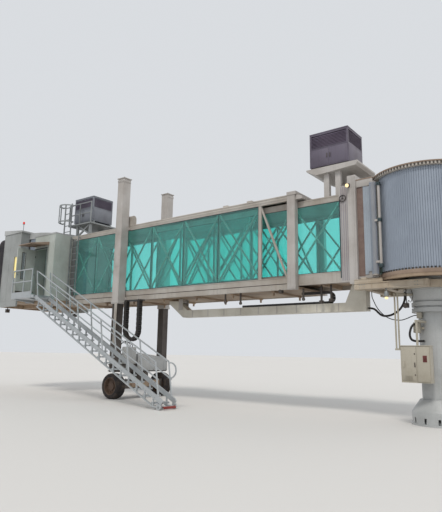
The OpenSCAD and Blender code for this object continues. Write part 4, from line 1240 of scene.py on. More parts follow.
def makeRoofConduits(spec):
    start, end = spec["conduitEnds"]
    deck, z = spec["deck"], spec["conduitHeight"]
    y0, y1 = spec["clipY"]
    bm = bmesh.new()
    for y in spec["conduits"]:
        addRod(bm, (start, y, z), (end, y, z), 0.02, 12)
    for k in range(spec["clips"]):
        x = spec["firstClip"] + k * spec["clipStep"]
        addBlock(bm, (x, y0, deck), (x + 0.03, y1, deck + 0.056), 0.004, 1)
    makePiece("roofConduits", bm, "galvanised", "tunnel_b", 40)


vestibuleStrips = {
    "skin": "wallGrey", "slot": "paint_grey",
    "plates": [(15.006, 15.034, 1.049, 0.009, 3.92, 6.75, 0.002)],
    "blocks": [((15.2, 1.049, 3.92), (15.228, 1.058, 6.75), 0.002, 1),
               ((15.7, -1.058, 3.92), (15.728, -1.049, 6.75), 0.002, 1)]
              + [((x, 1.99, 3.92), (x + 0.014, 1.998, 6.75), 0.002, 1) for x in (15.0, 15.44)],
}


def makeTerminalSeal():
    low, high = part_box("terminal_portal")
    x0, x1, top = low[0] - 0.018, low[0] + 0.002, high[2] - 0.015
    bm = bmesh.new()
    addPlate(bm, x0, x1, 0.985, 0.1, 3.92, top, 0.006, 2)
    addBlock(bm, (x0, -1.08, top - 0.055), (x1, 1.08, top), 0.006)
    makePiece("terminalSeal", bm, "gasket", "rotunda")


makeGaskets(panes)
makeOuterShell(outerShell)
makeEndRack(endRack)
makeUnderFrame(underFrame)
makeCover("portalCover", portalCover, "tunnel_b")
makeInnerShell(innerShell)
makeHangers(hangers)
makeTroughFittings(trough)
makeRoofSeams(roofSeams)
makeRoofConduits(roofSeams)
makeCover("vestibuleStrips", vestibuleStrips, "tunnel_b")
makeTerminalSeal()
print("tunnels done")


# chains

chains = {
    "link": 0.084,
    "plate": 0.008,
    "energy": {"width": 0.16, "height": 0.078, "y": 0.26, "centre": (3.0, 3.52), "bend": 0.16,
               "lowEnd": 6.195, "highEnd": 3.9},
    "hose": {"width": 0.18, "height": 0.13, "y": 1.2, "centre": (10.72, 2.585), "bend": 0.36, "top": 3.72},
}


def addPlaced(bm, matrix, build):
    part = bmesh.new()
    build(part)
    bmesh.ops.transform(part, matrix=matrix, verts=part.verts)
    mesh = bpy.data.meshes.new("part")
    part.to_mesh(mesh)
    part.free()
    bm.from_mesh(mesh)
    bpy.data.meshes.remove(mesh)


def bendPath(centre, radius, start, end, steps):
    angles = (math.radians(start + (end - start) * k / steps) for k in range(steps + 1))
    return [(centre[0] + radius * math.cos(a), centre[1], centre[2] + radius * math.sin(a)) for a in angles]


def addLink(bm, half, chain, plate, inner):
    width, height = chain["width"], chain["height"]
    reach = width / 2 - plate * (1.6 if inner else 0.5)
    for side in sides:
        addBlock(bm, (-half * 1.15, side * reach - plate / 2, -height / 2),
                 (half * 1.15, side * reach + plate / 2, height / 2), 0.0025, 1)
        pin = side * width / 2
        addRod(bm, (-half, pin - side * 0.012, 0), (-half, pin + side * letIn, 0), height * 0.2, 12)
    for level in (height * 0.42, -height * 0.42):
        addBlock(bm, (-half * 0.5, -reach, level - 0.005), (half * 0.5, reach, level + 0.005), 0.002, 1)


def addLinkChain(bm, points, spec, chain):
    path = [Vector(p) for p in points]
    reached = [0.0]
    for a, b in zip(path, path[1:]):
        reached.append(reached[-1] + (b - a).length)

    def pointAt(distance):
        i = min(max(k for k, far in enumerate(reached) if far <= distance + 0.000001), len(path) - 2)
        return path[i].lerp(path[i + 1], (distance - reached[i]) / (reached[i + 1] - reached[i]))

    count = round(reached[-1] / spec["link"])
    stops = [pointAt(reached[-1] * i / count) for i in range(count + 1)]
    for i, (a, b) in enumerate(zip(stops, stops[1:])):
        ahead = (b - a).normalized()
        side = Vector(across)
        turn = Matrix((ahead, side, ahead.cross(side))).transposed().to_4x4()
        half = (b - a).length / 2
        addPlaced(bm, Matrix.Translation((a + b) / 2) @ turn,
                  lambda part: addLink(part, half, chain, spec["plate"], i % 2))


def makeEnergyChain(spec):
    chain = spec["energy"]
    x, z = chain["centre"]
    y, bend = chain["y"], chain["bend"]
    turn = bendPath((x, y, z), bend, -90, -270, 18)
    path = [(chain["lowEnd"], y, z - bend)] + turn + [(chain["highEnd"], y, z + bend)]
    bm = bmesh.new()
    addLinkChain(bm, path, spec, chain)
    obj = makePiece("energyLinks", bm, "chain", "tunnel_a")
    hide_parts("energy_chain")


def hosePath(chain, y, top):
    x, z = chain["centre"]
    turn = bendPath((x, y, z), chain["bend"], 180, 360, 24)
    return [(x - chain["bend"], y, top)] + turn + [(x + chain["bend"], y, top)]


def makeHoseLoop(spec):
    chain = spec["hose"]
    path = hosePath(chain, chain["y"], chain["top"])
    bm = bmesh.new()
    addLinkChain(bm, path, spec, chain)
    low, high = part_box("hose_loop")
    top = high[2]
    addBlock(bm, (low[0], low[1], top - 0.041), high, 0.006)
    for x in (path[0][0], path[-1][0]):
        addBlock(bm, (x - 0.055, 1.15, top - 0.12), (x + 0.055, 1.162, top - 0.035), 0.003, 1)
        addRod(bm, (x, 1.10, top - 0.02), (x, 1.10, top - 0.055), 0.016, 6)
    obj = makePiece("hoseLinks", bm, "chain", "tunnel_b")
    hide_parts("hose_loop")
    bm = bmesh.new()
    for shift in (-0.014, 0.014):
        inside = hosePath(chain, chain["y"] + shift, chain["top"] - 0.02)
        addTube(bm, [Vector(p) for p in inside], 0.012, 8)
    makePiece("hoseLines", bm, "rubber", "tunnel_b", 60)


makeEnergyChain(chains)
makeHoseLoop(chains)
print("chains done")


# air units

airUnits = {
    "inner": {"node": "ac_unit_inner", "body": "tunnel_a", "skin": "unitGrey"},
    "outer": {"node": "ac_unit_outer", "body": "tunnel_b", "skin": "unitSlate"},
    "split": 0.64,
    "slatCount": 8,
    "slatRise": 0.0463,
    "slat": ((0.002, -0.001), (0.002, 0.014), (-0.036, 0.040), (-0.036, 0.026)),
    "post": 0.062,
    "guardRings": (0.1, 0.17, 0.24, 0.31, 0.37),
    "guardWire": 0.005,
    "guardReach": 0.385,
    "guardBars": 4,
}


def addSlat(bm, profile, start, along, outward, length):
    corners = []
    for shift in (0, length):
        for reach, rise in profile:
            corners.append(bm.verts.new(start + along * shift + outward * reach + Vector((0, 0, rise))))
    for k in range(4):
        bm.faces.new([corners[k], corners[(k + 1) % 4], corners[4 + (k + 1) % 4], corners[4 + k]])
    bm.faces.new(corners[:4])
    bm.faces.new(corners[4:])


def makeUnitSlats(spec, which, low, high, sill):
    post = spec["post"]
    width, depth = high.x - low.x - 2 * post, high.y - low.y - 2 * post
    banks = [((low.x + post, high.y), (1, 0, 0), (0, 1, 0), width),
             ((low.x + post, low.y), (1, 0, 0), (0, -1, 0), width),
             ((low.x, low.y + post), (0, 1, 0), (-1, 0, 0), depth)]
    bm = bmesh.new()
    for (x, y), along, outward, length in banks:
        for i in range(spec["slatCount"]):
            start = Vector((x, y, sill + 0.02 + i * spec["slatRise"]))
            addSlat(bm, spec["slat"], start, Vector(along), Vector(outward), length)
    makePiece(which + "UnitSlats", bm, "grille", spec[which]["body"], None)


def makeUnitPanels(spec, which, low, high, sill):
    middle = (low.x + high.x) / 2
    foot, head, top = low.z + 0.03, sill - 0.075, high.z + 0.004
    bm = bmesh.new()
    for y, out in ((low.y, -0.008), (high.y, 0.008)):
        y0, y1 = sorted((y - out / 8, y + out))
        for a, b in ((low.x + 0.03, middle - 0.006), (middle + 0.006, high.x - 0.03)):
            addBlock(bm, (a, y0, foot), (b, y1, head), 0.004)
            for x in (a + 0.03, b - 0.03):
                for z in (foot + 0.03, (low.z + sill) / 2, head - 0.03):
                    addRod(bm, (x, y, z), (x, y + out * 1.5, z), 0.009, 10)
        addBlock(bm, (low.x + 0.004, y0, high.z - 0.03), (high.x - 0.004, y1, top), 0.003, 1)
        addBlock(bm, (low.x + 0.055, y0, sill - 0.022), (high.x - 0.055, y1, sill - 0.002), 0.003, 1)
    for x0, x1 in ((low.x - 0.008, low.x + letIn), (high.x - letIn, high.x + 0.008)):
        addBlock(bm, (x0, low.y + 0.03, foot), (x1, high.y - 0.03, head), 0.004)
        addBlock(bm, (x0, low.y + 0.004, high.z - 0.03), (x1, high.y - 0.004, top), 0.003, 1)
    makePiece(which + "UnitPanels", bm, spec[which]["skin"], spec[which]["body"])


def makeUnitGuard(spec, which, low, high, sill):
    middle = (low.x + high.x) / 2
    z = (low.z + sill) / 2
    face = high.y + 0.006
    bm = bmesh.new()
    for x in (middle - 0.05, middle + 0.05):
        x0, x1 = x - 0.012, x + 0.012
        addBlock(bm, (x0, face, z - 0.07), (x1, face + 0.024, z - 0.055), 0.003)
        addBlock(bm, (x0, face, z + 0.055), (x1, face + 0.024, z + 0.07), 0.003)
        addBlock(bm, (x0, face + 0.016, z - 0.07), (x1, face + 0.028, z + 0.07), 0.004)
    centre = Vector((middle, (low.y + high.y) / 2, high.z + 0.003))
    for radius in spec["guardRings"]:
        addSpun(bm, centre, roundProfile(radius, spec["guardWire"], 6), 48)
    for k in range(spec["guardBars"]):
        angle = math.pi * k / spec["guardBars"]
        reach = Vector((math.cos(angle), math.sin(angle), 0)) * spec["guardReach"]
        addRod(bm, centre - reach, centre + reach, spec["guardWire"], 8)
    makePiece(which + "UnitGuard", bm, "darkSteel", spec[which]["body"], 40)


def makeAirUnit(spec, which):
    low, high = (Vector(c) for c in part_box(spec[which]["node"]))
    sill = low.z + spec["split"]
    makeUnitSlats(spec, which, low, high, sill)
    makeUnitPanels(spec, which, low, high, sill)
    makeUnitGuard(spec, which, low, high, sill)


makeAirUnit(airUnits, "inner")
makeAirUnit(airUnits, "outer")
print("air units done")


# lift columns and drive

columns = {
    "x": (11.305, 11.695),
    "y": (1.102, 1.462),
    "collars": (3.63, 8.58),
    "firstBolt": 11.365,
    "boltPitch": 0.09,
    "strips": (11.335, 11.635),
    "stripRise": (3.72, 8.53),
    "cover": (11.42, 11.58, 5.05, 5.35),
    "collarBolt": (1.47, 1.484),
    "coverBolt": (1.465, 1.472),
    "capBolts": ((11.31, 1.09), (11.31, 1.47), (11.69, 1.09), (11.69, 1.47)),
    "capTop": 8.729,
}
columnScale = {
    "skin": "tunnelPaint", "slot": "paint_white",
    "blocks": [((11.345, 1.457, 2.06), (11.485, 1.474, 3.64), 0.006),
               ((11.385, 1.457, 2.08), (11.445, 1.496, 3.62), 0.008)]
              + [((11.34, 1.457, z), (11.49, 1.48, z + 0.03), 0.003, 1) for z in (2.12, 2.6, 3.1, 3.55)],
}


def makeColumnBands(spec):
    (x0, x1), (inner, outer) = spec["x"], spec["y"]
    left, right, low, high = spec["cover"]
    bm = bmesh.new()
    for z in spec["collars"]:
        addPlate(bm, x0, x1, outer - 0.014, 0.024, z - 0.03, z + 0.06, 0.005, 2)
        for x in (x0 + 0.015, x1 - 0.015):
            addPlate(bm, x - 0.012, x + 0.012, inner, outer - inner, z - 0.03, z + 0.06, 0.005, 2)
    for x in spec["strips"]:
        addPlate(bm, x, x + 0.03, outer - 0.003, 0.007, *spec["stripRise"], 0.002)
    addPlate(bm, left, right, outer - 0.003, 0.007, low, high, 0.003, 2)
    makePiece("columnBands", bm, "paintWhite", "tunnel_b")


def makeColumnBolts(spec):
    left, right, low, high = spec["cover"]
    top = spec["capTop"]
    bm = bmesh.new()
    for side in sides:
        y0, y1 = (side * y for y in spec["collarBolt"])
        for z in spec["collars"]:
            for k in range(4):
                x = spec["firstBolt"] + k * spec["boltPitch"]
                addRod(bm, (x, y0, z + 0.015), (x, y1, z + 0.015), 0.012, 6)
        y0, y1 = (side * y for y in spec["coverBolt"])
        for x in (left + 0.02, right - 0.02):
            for z in (low + 0.02, high - 0.02):
                addRod(bm, (x, y0, z), (x, y1, z), 0.008, 8)
        for x, y in spec["capBolts"]:
            addRod(bm, (x, side * y, top), (x, side * y, top + 0.017), 0.014, 6)
    makePiece("columnBolts", bm, "galvanised", "tunnel_b", 30)


wheels = {
    "axle": (11.5, 1.28, 0.475),
    "rim": 0.325,
    "tyre": 0.475,
    "half": 0.2,
    "shoulder": ((0.06, 0), (0.022, 0.016), (0.008, 0.04), (0, 0.07)),  # in from the tread, in from the side
    "grooves": (-0.11, -0.04, 0.04, 0.11),
    "grooveWidth": 0.014,
    "grooveDepth": 0.014,
    "disc": ((0.075, 0.04), (0.075, -0.2), (0.15, -0.2), (0.155, -0.07), (0.27, -0.06), (0.3, -0.17),
             (0.326, -0.196), (0.33, -0.19), (0.326, -0.17), (0.326, 0.17), (0.33, 0.19), (0.326, 0.196),
             (0.3, 0.18), (0.272, 0.07), (0.16, 0.08), (0.145, 0.125), (0.09, 0.132), (0.03, 0.133),
             (0.001, 0.133)),
    "bolts": 10,
    "boltCircle": 0.215,
}


def tyreProfile(spec):
    rim, outer, half = spec["rim"], spec["tyre"], spec["half"]
    flank = [(rim, 0.004 - half), (rim + 0.03, -half)]
    flank += [(outer - inwards, up - half) for inwards, up in spec["shoulder"]]
    wide, bottom = spec["grooveWidth"], outer - spec["grooveDepth"]
    narrow = wide * 0.6
    tread = []
    for y in spec["grooves"]:
        tread += [(outer, y - wide), (bottom, y - narrow), (bottom, y + narrow), (outer, y + wide)]
    return flank + tread + [(r, -y) for r, y in reversed(flank)] + flank[:1]


def makeDriveWheel(spec, name, side, node, body):
    x, y, z = spec["axle"]
    centre = Vector((x, side * y, z))
    bm = bmesh.new()
    addSpun(bm, centre, [(r, side * out) for r, out in tyreProfile(spec)], 96, across)
    makePiece(name + "Tyre", bm, "tyre", body)
    bm = bmesh.new()
    addSpun(bm, centre, [(r, side * out) for r, out in spec["disc"]], 72, across)
    for k in range(spec["bolts"]):
        a = fullTurn * k / spec["bolts"]
        place = centre + Vector((math.cos(a), 0, math.sin(a))) * spec["boltCircle"]
        addRod(bm, place + Vector((0, side * 0.07, 0)), place + Vector((0, side * 0.098, 0)), 0.017, 6)
    makePiece(name + "Rim", bm, "hubBrown", body)
    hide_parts(node)


drive = {
    "flangeBoltX": (11.2, 11.8),
    "flangeBoltY": (-0.8, -0.4, 0.4, 0.8),
    "flangeTop": 0.7,
    "turntableBolts": 16,
    "turntableCircle": 0.36,
    "turntableTop": 0.93,
    "motor": (-1.4, 0.3, 1.04, 1.46),
    "motorX": (11.33, 11.67),
    "motorDepth": 0.07,
    "motorRibs": (-1.2, -0.8, -0.4, 0.0),
    "motorHood": ((-1.38, 1.45), (0.29, 1.45), (0.29, 1.74), (-1.0, 1.6)),
    "boxes": [((11.2, 0.46, 1.31), (11.4, 1.04, 1.96), 0.025),
              ((11.19, 0.50, 1.36), (11.202, 1.0, 1.9), 0.004),
              ((11.62, 0.5, 1.31), (11.78, 0.98, 1.7), 0.02)],
    "lidScrews": ((0.53, 1.4), (0.97, 1.4), (0.53, 1.86), (0.97, 1.86)),
    "motorScrewY": (-1.33, -0.6, 0.2),
    "motorScrewZ": (1.08, 1.4),
    "motorScrewX": ((11.26, 11.25), (11.74, 11.75)),
    "lidScrewX": (11.188, 11.182),
    "hoses": (0.6, 0.72, 0.84),
}
bogieCovers = {
    "skin": "frameBrown", "slot": "frame_brown",
    "blocks": [((x, -0.85, 0.43), (x + 0.014, 0.85, 0.65), 0.004) for x in (11.16, 11.826)]
              + [((x, y - 0.16, 0.42), (x + 0.06, y + 0.16, 0.68), 0.02)
                 for x in (11.09, 11.85) for y in (-0.55, 0.55)],
}
beamFlanges = {
    "skin": "darkSteel", "slot": "frame_brown",
    "plates": [(11.322, 11.678, 1.095, 0.363, z, z + 0.03, 0.004) for z in (1.02, 1.255)],
    "blocks": [((11.318, -1.11, z), (11.682, 1.11, z + 0.022), 0.004, 1) for z in (1.015, 1.265)],
}
hoodFaces = ((0, 1, 2, 3), (4, 5, 6, 7), (0, 1, 5, 4), (1, 2, 6, 5), (2, 3, 7, 6), (3, 0, 4, 7))


def makeBogieBolts(spec):
    bm = bmesh.new()
    for x in spec["flangeBoltX"]:
        for y in spec["flangeBoltY"]:
            addRod(bm, (x, y, spec["flangeTop"] - letIn), (x, y, spec["flangeTop"] + 0.022), 0.022, 6)
    reach, top = spec["turntableCircle"], spec["turntableTop"]
    for k in range(spec["turntableBolts"]):
        a = fullTurn * (k + 0.5) / spec["turntableBolts"]
        x, y = wheels["axle"][0] + reach * math.cos(a), reach * math.sin(a)
        addRod(bm, (x, y, top), (x, y, top + 0.023), 0.014, 6)
    makePiece("bogieBolts", bm, "galvanised", "bogie", 30)


def makeDriveHousing(spec):
    y0, y1, z0, z1 = spec["motor"]
    depth = spec["motorDepth"]
    bm = bmesh.new()
    for x, out in zip(spec["motorX"], (-1, 1)):
        x0, x1 = sorted((x, x + out * depth))
        addBlock(bm, (x0, y0, z0), (x1, y1, z1), 0.012)
        corners = [bm.verts.new((end, y, z)) for end in (x0, x1) for y, z in spec["motorHood"]]
        for face in hoodFaces:
            bm.faces.new([corners[k] for k in face])
        rib = x + out * (depth + 0.008)
        for y in spec["motorRibs"]:
            addBlock(bm, (min(x0, rib), y, z0 + 0.03), (max(x1, rib), y + 0.02, z1 - 0.02), 0.003, 1)
    for row in spec["boxes"]:
        addBlock(bm, *row)
    makePiece("driveHousing", bm, "paintGrey", "lift_beam")


def makeDriveHoses(spec):
    bm = bmesh.new()
    x0, x1 = spec["lidScrewX"]
    for y, z in spec["lidScrews"]:
        addRod(bm, (x0, y, z), (x1, y, z), 0.009, 8)
    for y in spec["motorScrewY"]:
        for z in spec["motorScrewZ"]:
            for x0, x1 in spec["motorScrewX"]:
                addRod(bm, (x0, y, z), (x1, y, z), 0.012, 8)
    for k, y in enumerate(spec["hoses"]):
        lift = k * 0.03
        route = [(11.3, y, 1.95), (11.3, y, 2.02 + lift), (11.34, y + 0.12, 2.12 + lift), (11.4, 1.04, 2.1),
                 (11.42, 1.11, 2.0)]
        addTube(bm, smoothPath(route, 4), 0.014, 8)
    makePiece("driveHoses", bm, "rubber", "lift_beam", 40)


makeColumnBands(columns)
makeColumnBolts(columns)
makeCover("columnScale", columnScale, "tunnel_b")
makeDriveWheel(wheels, "nearWheel", 1, "drive_wheel_near", "wheel_near")
makeDriveWheel(wheels, "farWheel", -1, "drive_wheel_far", "wheel_far")
makeBogieBolts(drive)
makeCover("bogieCovers", bogieCovers, "bogie")
makeCover("beamFlanges", beamFlanges, "lift_beam")
makeDriveHousing(drive)
makeDriveHoses(drive)
print("drive done")


# stair, landing and door

stair = {
    "count": 18,
    "firstX": 7.83,
    "lastX": 14.49,
    "pin": (14.72, 3.9),
    "slope": 0.504155,
    "treadY": (2.253, 2.807),
    "gripBars": (-0.15, -0.086, -0.022, 0.042, 0.106),
    "teeth": 22,
    "toothPitch": 0.024,
    "boltFaces": ((2.198, 2.19), (2.862, 2.87)),
    "railY": (2.225, 2.835),
    "railPosts": 6,
    "firstPost": 7.62,
    "postSpan": 6.96,
}
footGuard = {
    "skin": "redPaint", "slot": "stair_metal",
    "blocks": [((7.385, 2.26, 0.035), (7.42, 2.80, 0.115), 0.008)]
              + [((7.405, y, 0.07), (7.545, y + 0.03, 0.10), 0.004) for y in (2.32, 2.72)],
}
footCaps = {
    "place": (7.54, 0.09),
    "ends": ((2.9155, 0.012), (2.1445, -0.012)),
    "profile": ((0.0005, 1.0), (0.03, 1.0), (0.034, 0.6), (0.034, -0.2), (0.0005, -0.2)),
}


def stairHeight(spec, x):
    return spec["pin"][1] - (spec["pin"][0] - x) * spec["slope"]


def treadPlaces(spec):
    step = (spec["lastX"] - spec["firstX"]) / (spec["count"] - 1)
    xs = [spec["firstX"] + step * i for i in range(spec["count"])]
    return [(x, stairHeight(spec, x)) for x in xs]


def makeTreadGrip(spec):
    y0, y1 = spec["treadY"]
    bm = bmesh.new()
    for x, line in treadPlaces(spec):
        top = line - 0.215
        for shift in spec["gripBars"]:
            addBlock(bm, (x + shift, y0, top - 0.002), (x + shift + 0.024, y1, top + 0.005), 0.002, 1)
        for k in range(spec["teeth"]):
            y = y0 + 0.009 + spec["toothPitch"] * k
            addBlock(bm, (x - 0.15, y, top + 0.004), (x - 0.138, y + 0.011, top + 0.010), 0.001, 1)
    makePiece("treadGrip", bm, "stairMetal", "service_stair")
    bm = bmesh.new()
    for x, line in treadPlaces(spec):
        for inside, outside in spec["boltFaces"]:
            for shift in (-0.06, 0.06):
                z = line - 0.03 + shift * spec["slope"]
                addRod(bm, (x + shift, inside, z), (x + shift, outside, z), 0.012, 8)
    makePiece("treadBolts", bm, "galvanised", "service_stair", 30)


def makeRailFeet(spec):
    bm = bmesh.new()
    for y in spec["railY"]:
        for i in range(spec["railPosts"]):
            x = spec["firstPost"] + spec["postSpan"] * i / (spec["railPosts"] - 1)
            z = stairHeight(spec, x)
            addRod(bm, (x - 0.002, y - 0.028, z), (x - 0.002, y + 0.028, z), 0.055, 24)
    makePiece("railFeet", bm, "stairMetal", "service_stair")


def makeFootCaps(spec):
    x, z = spec["place"]
    bm = bmesh.new()
    for y, out in spec["ends"]:
        addSpun(bm, (x, y, z), [(r, out * share) for r, share in spec["profile"]], 24, across)
    makePiece("footCaps", bm, "galvanised", "service_stair", 40)


sideLadder = {
    "rails": (14.4, 14.93),
    "y": 1.19,
    "bottom": 3.62,
    "top": 6.74,
    "firstRung": 0.1,
    "step": 0.28,
    "brackets": (3.82, 6.65),
}


def makeSideLadder(spec):
    y, low, high = spec["y"], spec["bottom"], spec["top"]
    start, end = spec["rails"]
    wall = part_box("tunnel_b_side_near")[1][1]
    bm = bmesh.new()
    for k in range(int((high - low - spec["firstRung"]) / spec["step"]) + 1):
        z = low + spec["firstRung"] + spec["step"] * k
        addRod(bm, (start, y, z), (end, y, z), 0.015, 10)
    for x in spec["rails"]:
        addBlock(bm, (x - 0.011, y - 0.03, low), (x + 0.011, y + 0.03, high), 0.003, 1)
        for z in spec["brackets"]:
            addBlock(bm, (x - 0.008, wall - letIn, z - 0.03), (x + 0.008, y - 0.02, z + 0.03), 0.002, 1)
            addRod(bm, (x + 0.02, wall + 0.006, z), (x - 0.02, wall + 0.006, z), 0.012, 6)
    makePiece("sideLadder", bm, "galvanised", "tunnel_b")


landing = {
    "top": 4.0,
    "ends": (15.03, 16.42),
    "depth": (1.96, 2.85),
    "bars": 41,
    "barPitch": 0.034,
    "crossBars": (2.1, 2.3, 2.5, 2.7),
    "railY": 2.88,
    "posts": (15.22, 15.62),
    "corner": 16.44,
    "rails": (4.58, 5.08),
    "toeStrip": ((15.0, 2.899, 3.9), (16.45, 2.906, 3.99)),
}


def makeLandingGrating(spec):
    top = spec["top"]
    start, end = spec["ends"]
    y0, y1 = spec["depth"]
    bm = bmesh.new()
    for k in range(spec["bars"]):
        x = start + spec["barPitch"] * k
        addBlock(bm, (x, y0, top - letIn), (x + 0.006, y1, top + 0.004), 0.0012, 1)
    for y in spec["crossBars"]:
        addBlock(bm, (start, y, top - letIn), (end, y + 0.006, top + 0.003), 0.001, 1)
    makePiece("landingGrating", bm, "stairMetal", "tunnel_b")


def makeRailFittings(spec):
    top, railY, corner = spec["top"], spec["railY"], spec["corner"]
    bm = bmesh.new()
    for x in spec["posts"]:
        addBlock(bm, (x - 0.045, railY - 0.032, top), (x + 0.045, railY + 0.02, top + 0.01), 0.003, 1)
        for shift in (-0.036, 0.036):
            addRod(bm, (x + shift, railY, top + 0.009), (x + shift, railY, top + 0.018), 0.007, 6)
    for y, outer in ((railY, railY + 0.02), (2.0, 2.032)):
        addBlock(bm, (corner - 0.03, y - 0.032, top), (corner + 0.018, outer, top + 0.01), 0.003, 1)
    for z in spec["rails"]:
        for x in spec["posts"]:
            addRod(bm, (x - 0.026, railY, z), (x + 0.026, railY, z), 0.0235, 20)
        addRod(bm, (corner - 0.026, railY, z), (corner + 0.02, railY, z), 0.0235, 20)
    addBlock(bm, *spec["toeStrip"], 0.002, 1)
    makePiece("railFittings", bm, "stairMetal", "tunnel_b")


door = {
    "pane": (2.455, 2.605, 4.795, 5.947),
    "frames": ((16.349, 16.357), (16.393, 16.401)),
    "kickPlate": ((16.351, 2.02, 4.04), (16.357, 2.81, 4.26)),
    "hinge": (16.375, 1.972),
    "hinges": (4.25, 5.05, 5.85),
    "lockPlate": ((16.348, 2.735, 4.93), (16.357, 2.785, 5.13)),
    "lever": ((16.356, 2.76, 5.08), (16.318, 2.76, 5.08)),
    "grip": ((16.322, 2.76, 5.08), (16.322, 2.64, 5.08)),
}


def makeDoorTrim(spec):
    y0, y1, z0, z1 = spec["pane"]
    low, high = z0 - 0.02, z1 + 0.02
    bm = bmesh.new()
    for x0, x1 in spec["frames"]:
        addBlock(bm, (x0, y0 - 0.02, low), (x1, y0 + 0.006, high), 0.003, 1)
        addBlock(bm, (x0, y1 - 0.006, low), (x1, y1 + 0.02, high), 0.003, 1)
        addBlock(bm, (x0, y0, low), (x1, y1, z0 + 0.006), 0.003, 1)
        addBlock(bm, (x0, y0, z1 - 0.006), (x1, y1, high), 0.003, 1)
    addBlock(bm, *spec["kickPlate"], 0.002, 1)
    x, y = spec["hinge"]
    for z in spec["hinges"]:
        addRod(bm, (x, y, z - 0.05), (x, y, z + 0.05), 0.0235, 20)
    makePiece("doorFrame", bm, "darkSteel", "service_door")
    bm = bmesh.new()
    addBlock(bm, (x - 0.004, y0 + 0.007, z0 + 0.007), (x + 0.004, y1 - 0.007, z1 - 0.007), 0.001, 1)
    makePiece("doorPane", bm, "clearGlass", "service_door")
    bm = bmesh.new()
    addBlock(bm, *spec["lockPlate"], 0.003)
    addRod(bm, *spec["lever"], 0.011, 16)
    addRod(bm, *spec["grip"], 0.009, 16)
    makePiece("doorHandle", bm, "galvanised", "service_door", 40)


doorwaySeal = {
    "skin": "gasket", "slot": "rubber",
    "blocks": [((15.455, 1.991, 4.002), (15.498, 2.002, 6.2), 0.003, 1),
               ((16.402, 1.991, 4.002), (16.43, 2.002, 6.2), 0.003, 1),
               ((15.455, 1.991, 6.155), (16.43, 2.002, 6.2), 0.003, 1)],
}
awning = {
    "ribs": (15.43, 15.74, 16.05, 16.36),
    "hinge": (1.945, 6.328),
    "slope": -6.2,
    "rib": ((0, 0, -0.028), (0.03, 0.79, 0.004)),
    "edge": ((15.42, 2.765, 6.248), (16.43, 2.765, 6.248)),
    "flashing": (15.421, 16.429, 1.939, 0.03, 6.41, 6.444, 0.004),
}


def makeAwningRibs(spec):
    tilt = Matrix.Rotation(math.radians(spec["slope"]), 4, "X")
    bm = bmesh.new()
    for x in spec["ribs"]:
        addPlaced(bm, Matrix.Translation((x,) + spec["hinge"]) @ tilt,
                  lambda part: addBlock(part, *spec["rib"], 0.003, 1))
    addRod(bm, *spec["edge"], 0.017, 16)
    addPlate(bm, *spec["flashing"])
    makePiece("awningRibs", bm, "rimBrown", "tunnel_b")


makeTreadGrip(stair)
makeRailFeet(stair)
makeCover("footGuard", footGuard, "service_stair")
makeFootCaps(footCaps)
makeSideLadder(sideLadder)
makeLandingGrating(landing)
makeRailFittings(landing)
makeDoorTrim(door)
makeCover("doorwaySeal", doorwaySeal, "tunnel_b")
makeAwningRibs(awning)
print("stair and door done")


# cab

cabCurtains = {
    "axis": 17.6,
    "radius": 1.588,
    "arcs": ((94.6, 131.8), (-137.8, -94.6)),
    "slatPitch": 0.062,
    "slatDepth": 0.012,
    "slatWall": 0.008,
}
cabGuidePosts = {
    "skin": "paintGrey", "slot": "paint_grey",
    "blocks": [((16.5, 1.11, 3.962), (16.56, 1.19, 6.768), 0.012),
               ((16.39, -1.05, 3.962), (16.45, -0.98, 6.768), 0.012)],
}
# strips round the window, at the joints of the wall and along its foot
cabStrips = {
    "skin": "cabGrey", "slot": "paint_grey",
    "plates": [(x0, x1, 2.039, depth, low, high) for x0, x1, low, high, depth in (
        (17.625, 17.652, 4.975, 6.025, 0.011), (17.948, 17.975, 4.975, 6.025, 0.011),
        (17.625, 17.975, 4.975, 5.003, 0.011), (17.625, 17.975, 5.997, 6.025, 0.011),
        (17.502, 17.53, 3.72, 7.1, 0.007), (18.36, 18.40, 3.72, 7.1, 0.007),
        (18.86, 18.898, 3.72, 7.1, 0.009), (17.502, 18.898, 3.702, 3.75, 0.009),
        (17.502, 18.898, 3.96, 3.985, 0.007))],
}
cabRivets = {
    "columns": (17.516, 18.38, 18.879),
    "rows": 15,
    "y": (2.044, 2.05),
    "low": 3.82,
    "step": 0.228,
}
cabBumper = {
    "skin": "rubber", "slot": "rubber",
    "plates": [(18.95, 19.08, 1.955, 0.03, 3.72, 3.93, 0.01, 2)],
    "blocks": [((19.045, -1.9, 3.72), (19.085, 1.9, 3.93), 0.014)],
}
cabCamera = {
    "near": ((18.42, 1.74, 3.46), (18.56, 1.9, 3.62)),
    "nearStem": ((18.49, 1.82, 3.61), (18.49, 1.82, 3.705)),
    "hood": ((18.56, 1.82, 3.54), (18.6, 1.82, 3.53)),
    "far": ((18.2, -1.9, 3.5), (18.36, -1.7, 3.64)),
    "farStem": ((18.28, -1.8, 3.63), (18.28, -1.8, 3.705)),
}
beacon = {
    "foot": (17.56, 1.95, 7.2),
    "mast": ((0.0005, 0), (0.045, 0), (0.045, 0.008), (0.02, 0.014), (0.014, 0.03), (0.0135, 0.3),
             (0.022, 0.315), (0.05, 0.32), (0.05, 0.335), (0.0005, 0.335)),
    "lensRings": 5,
    "lensRing": ((0.049, 0.342), (0.045, 0.349)),
    "lensStep": 0.015,
    "lensFoot": ((0.0005, 0.334), (0.047, 0.334)),
    "lensTop": ((0.044, 0.42), (0.034, 0.435), (0.018, 0.44), (0.0005, 0.44)),
}


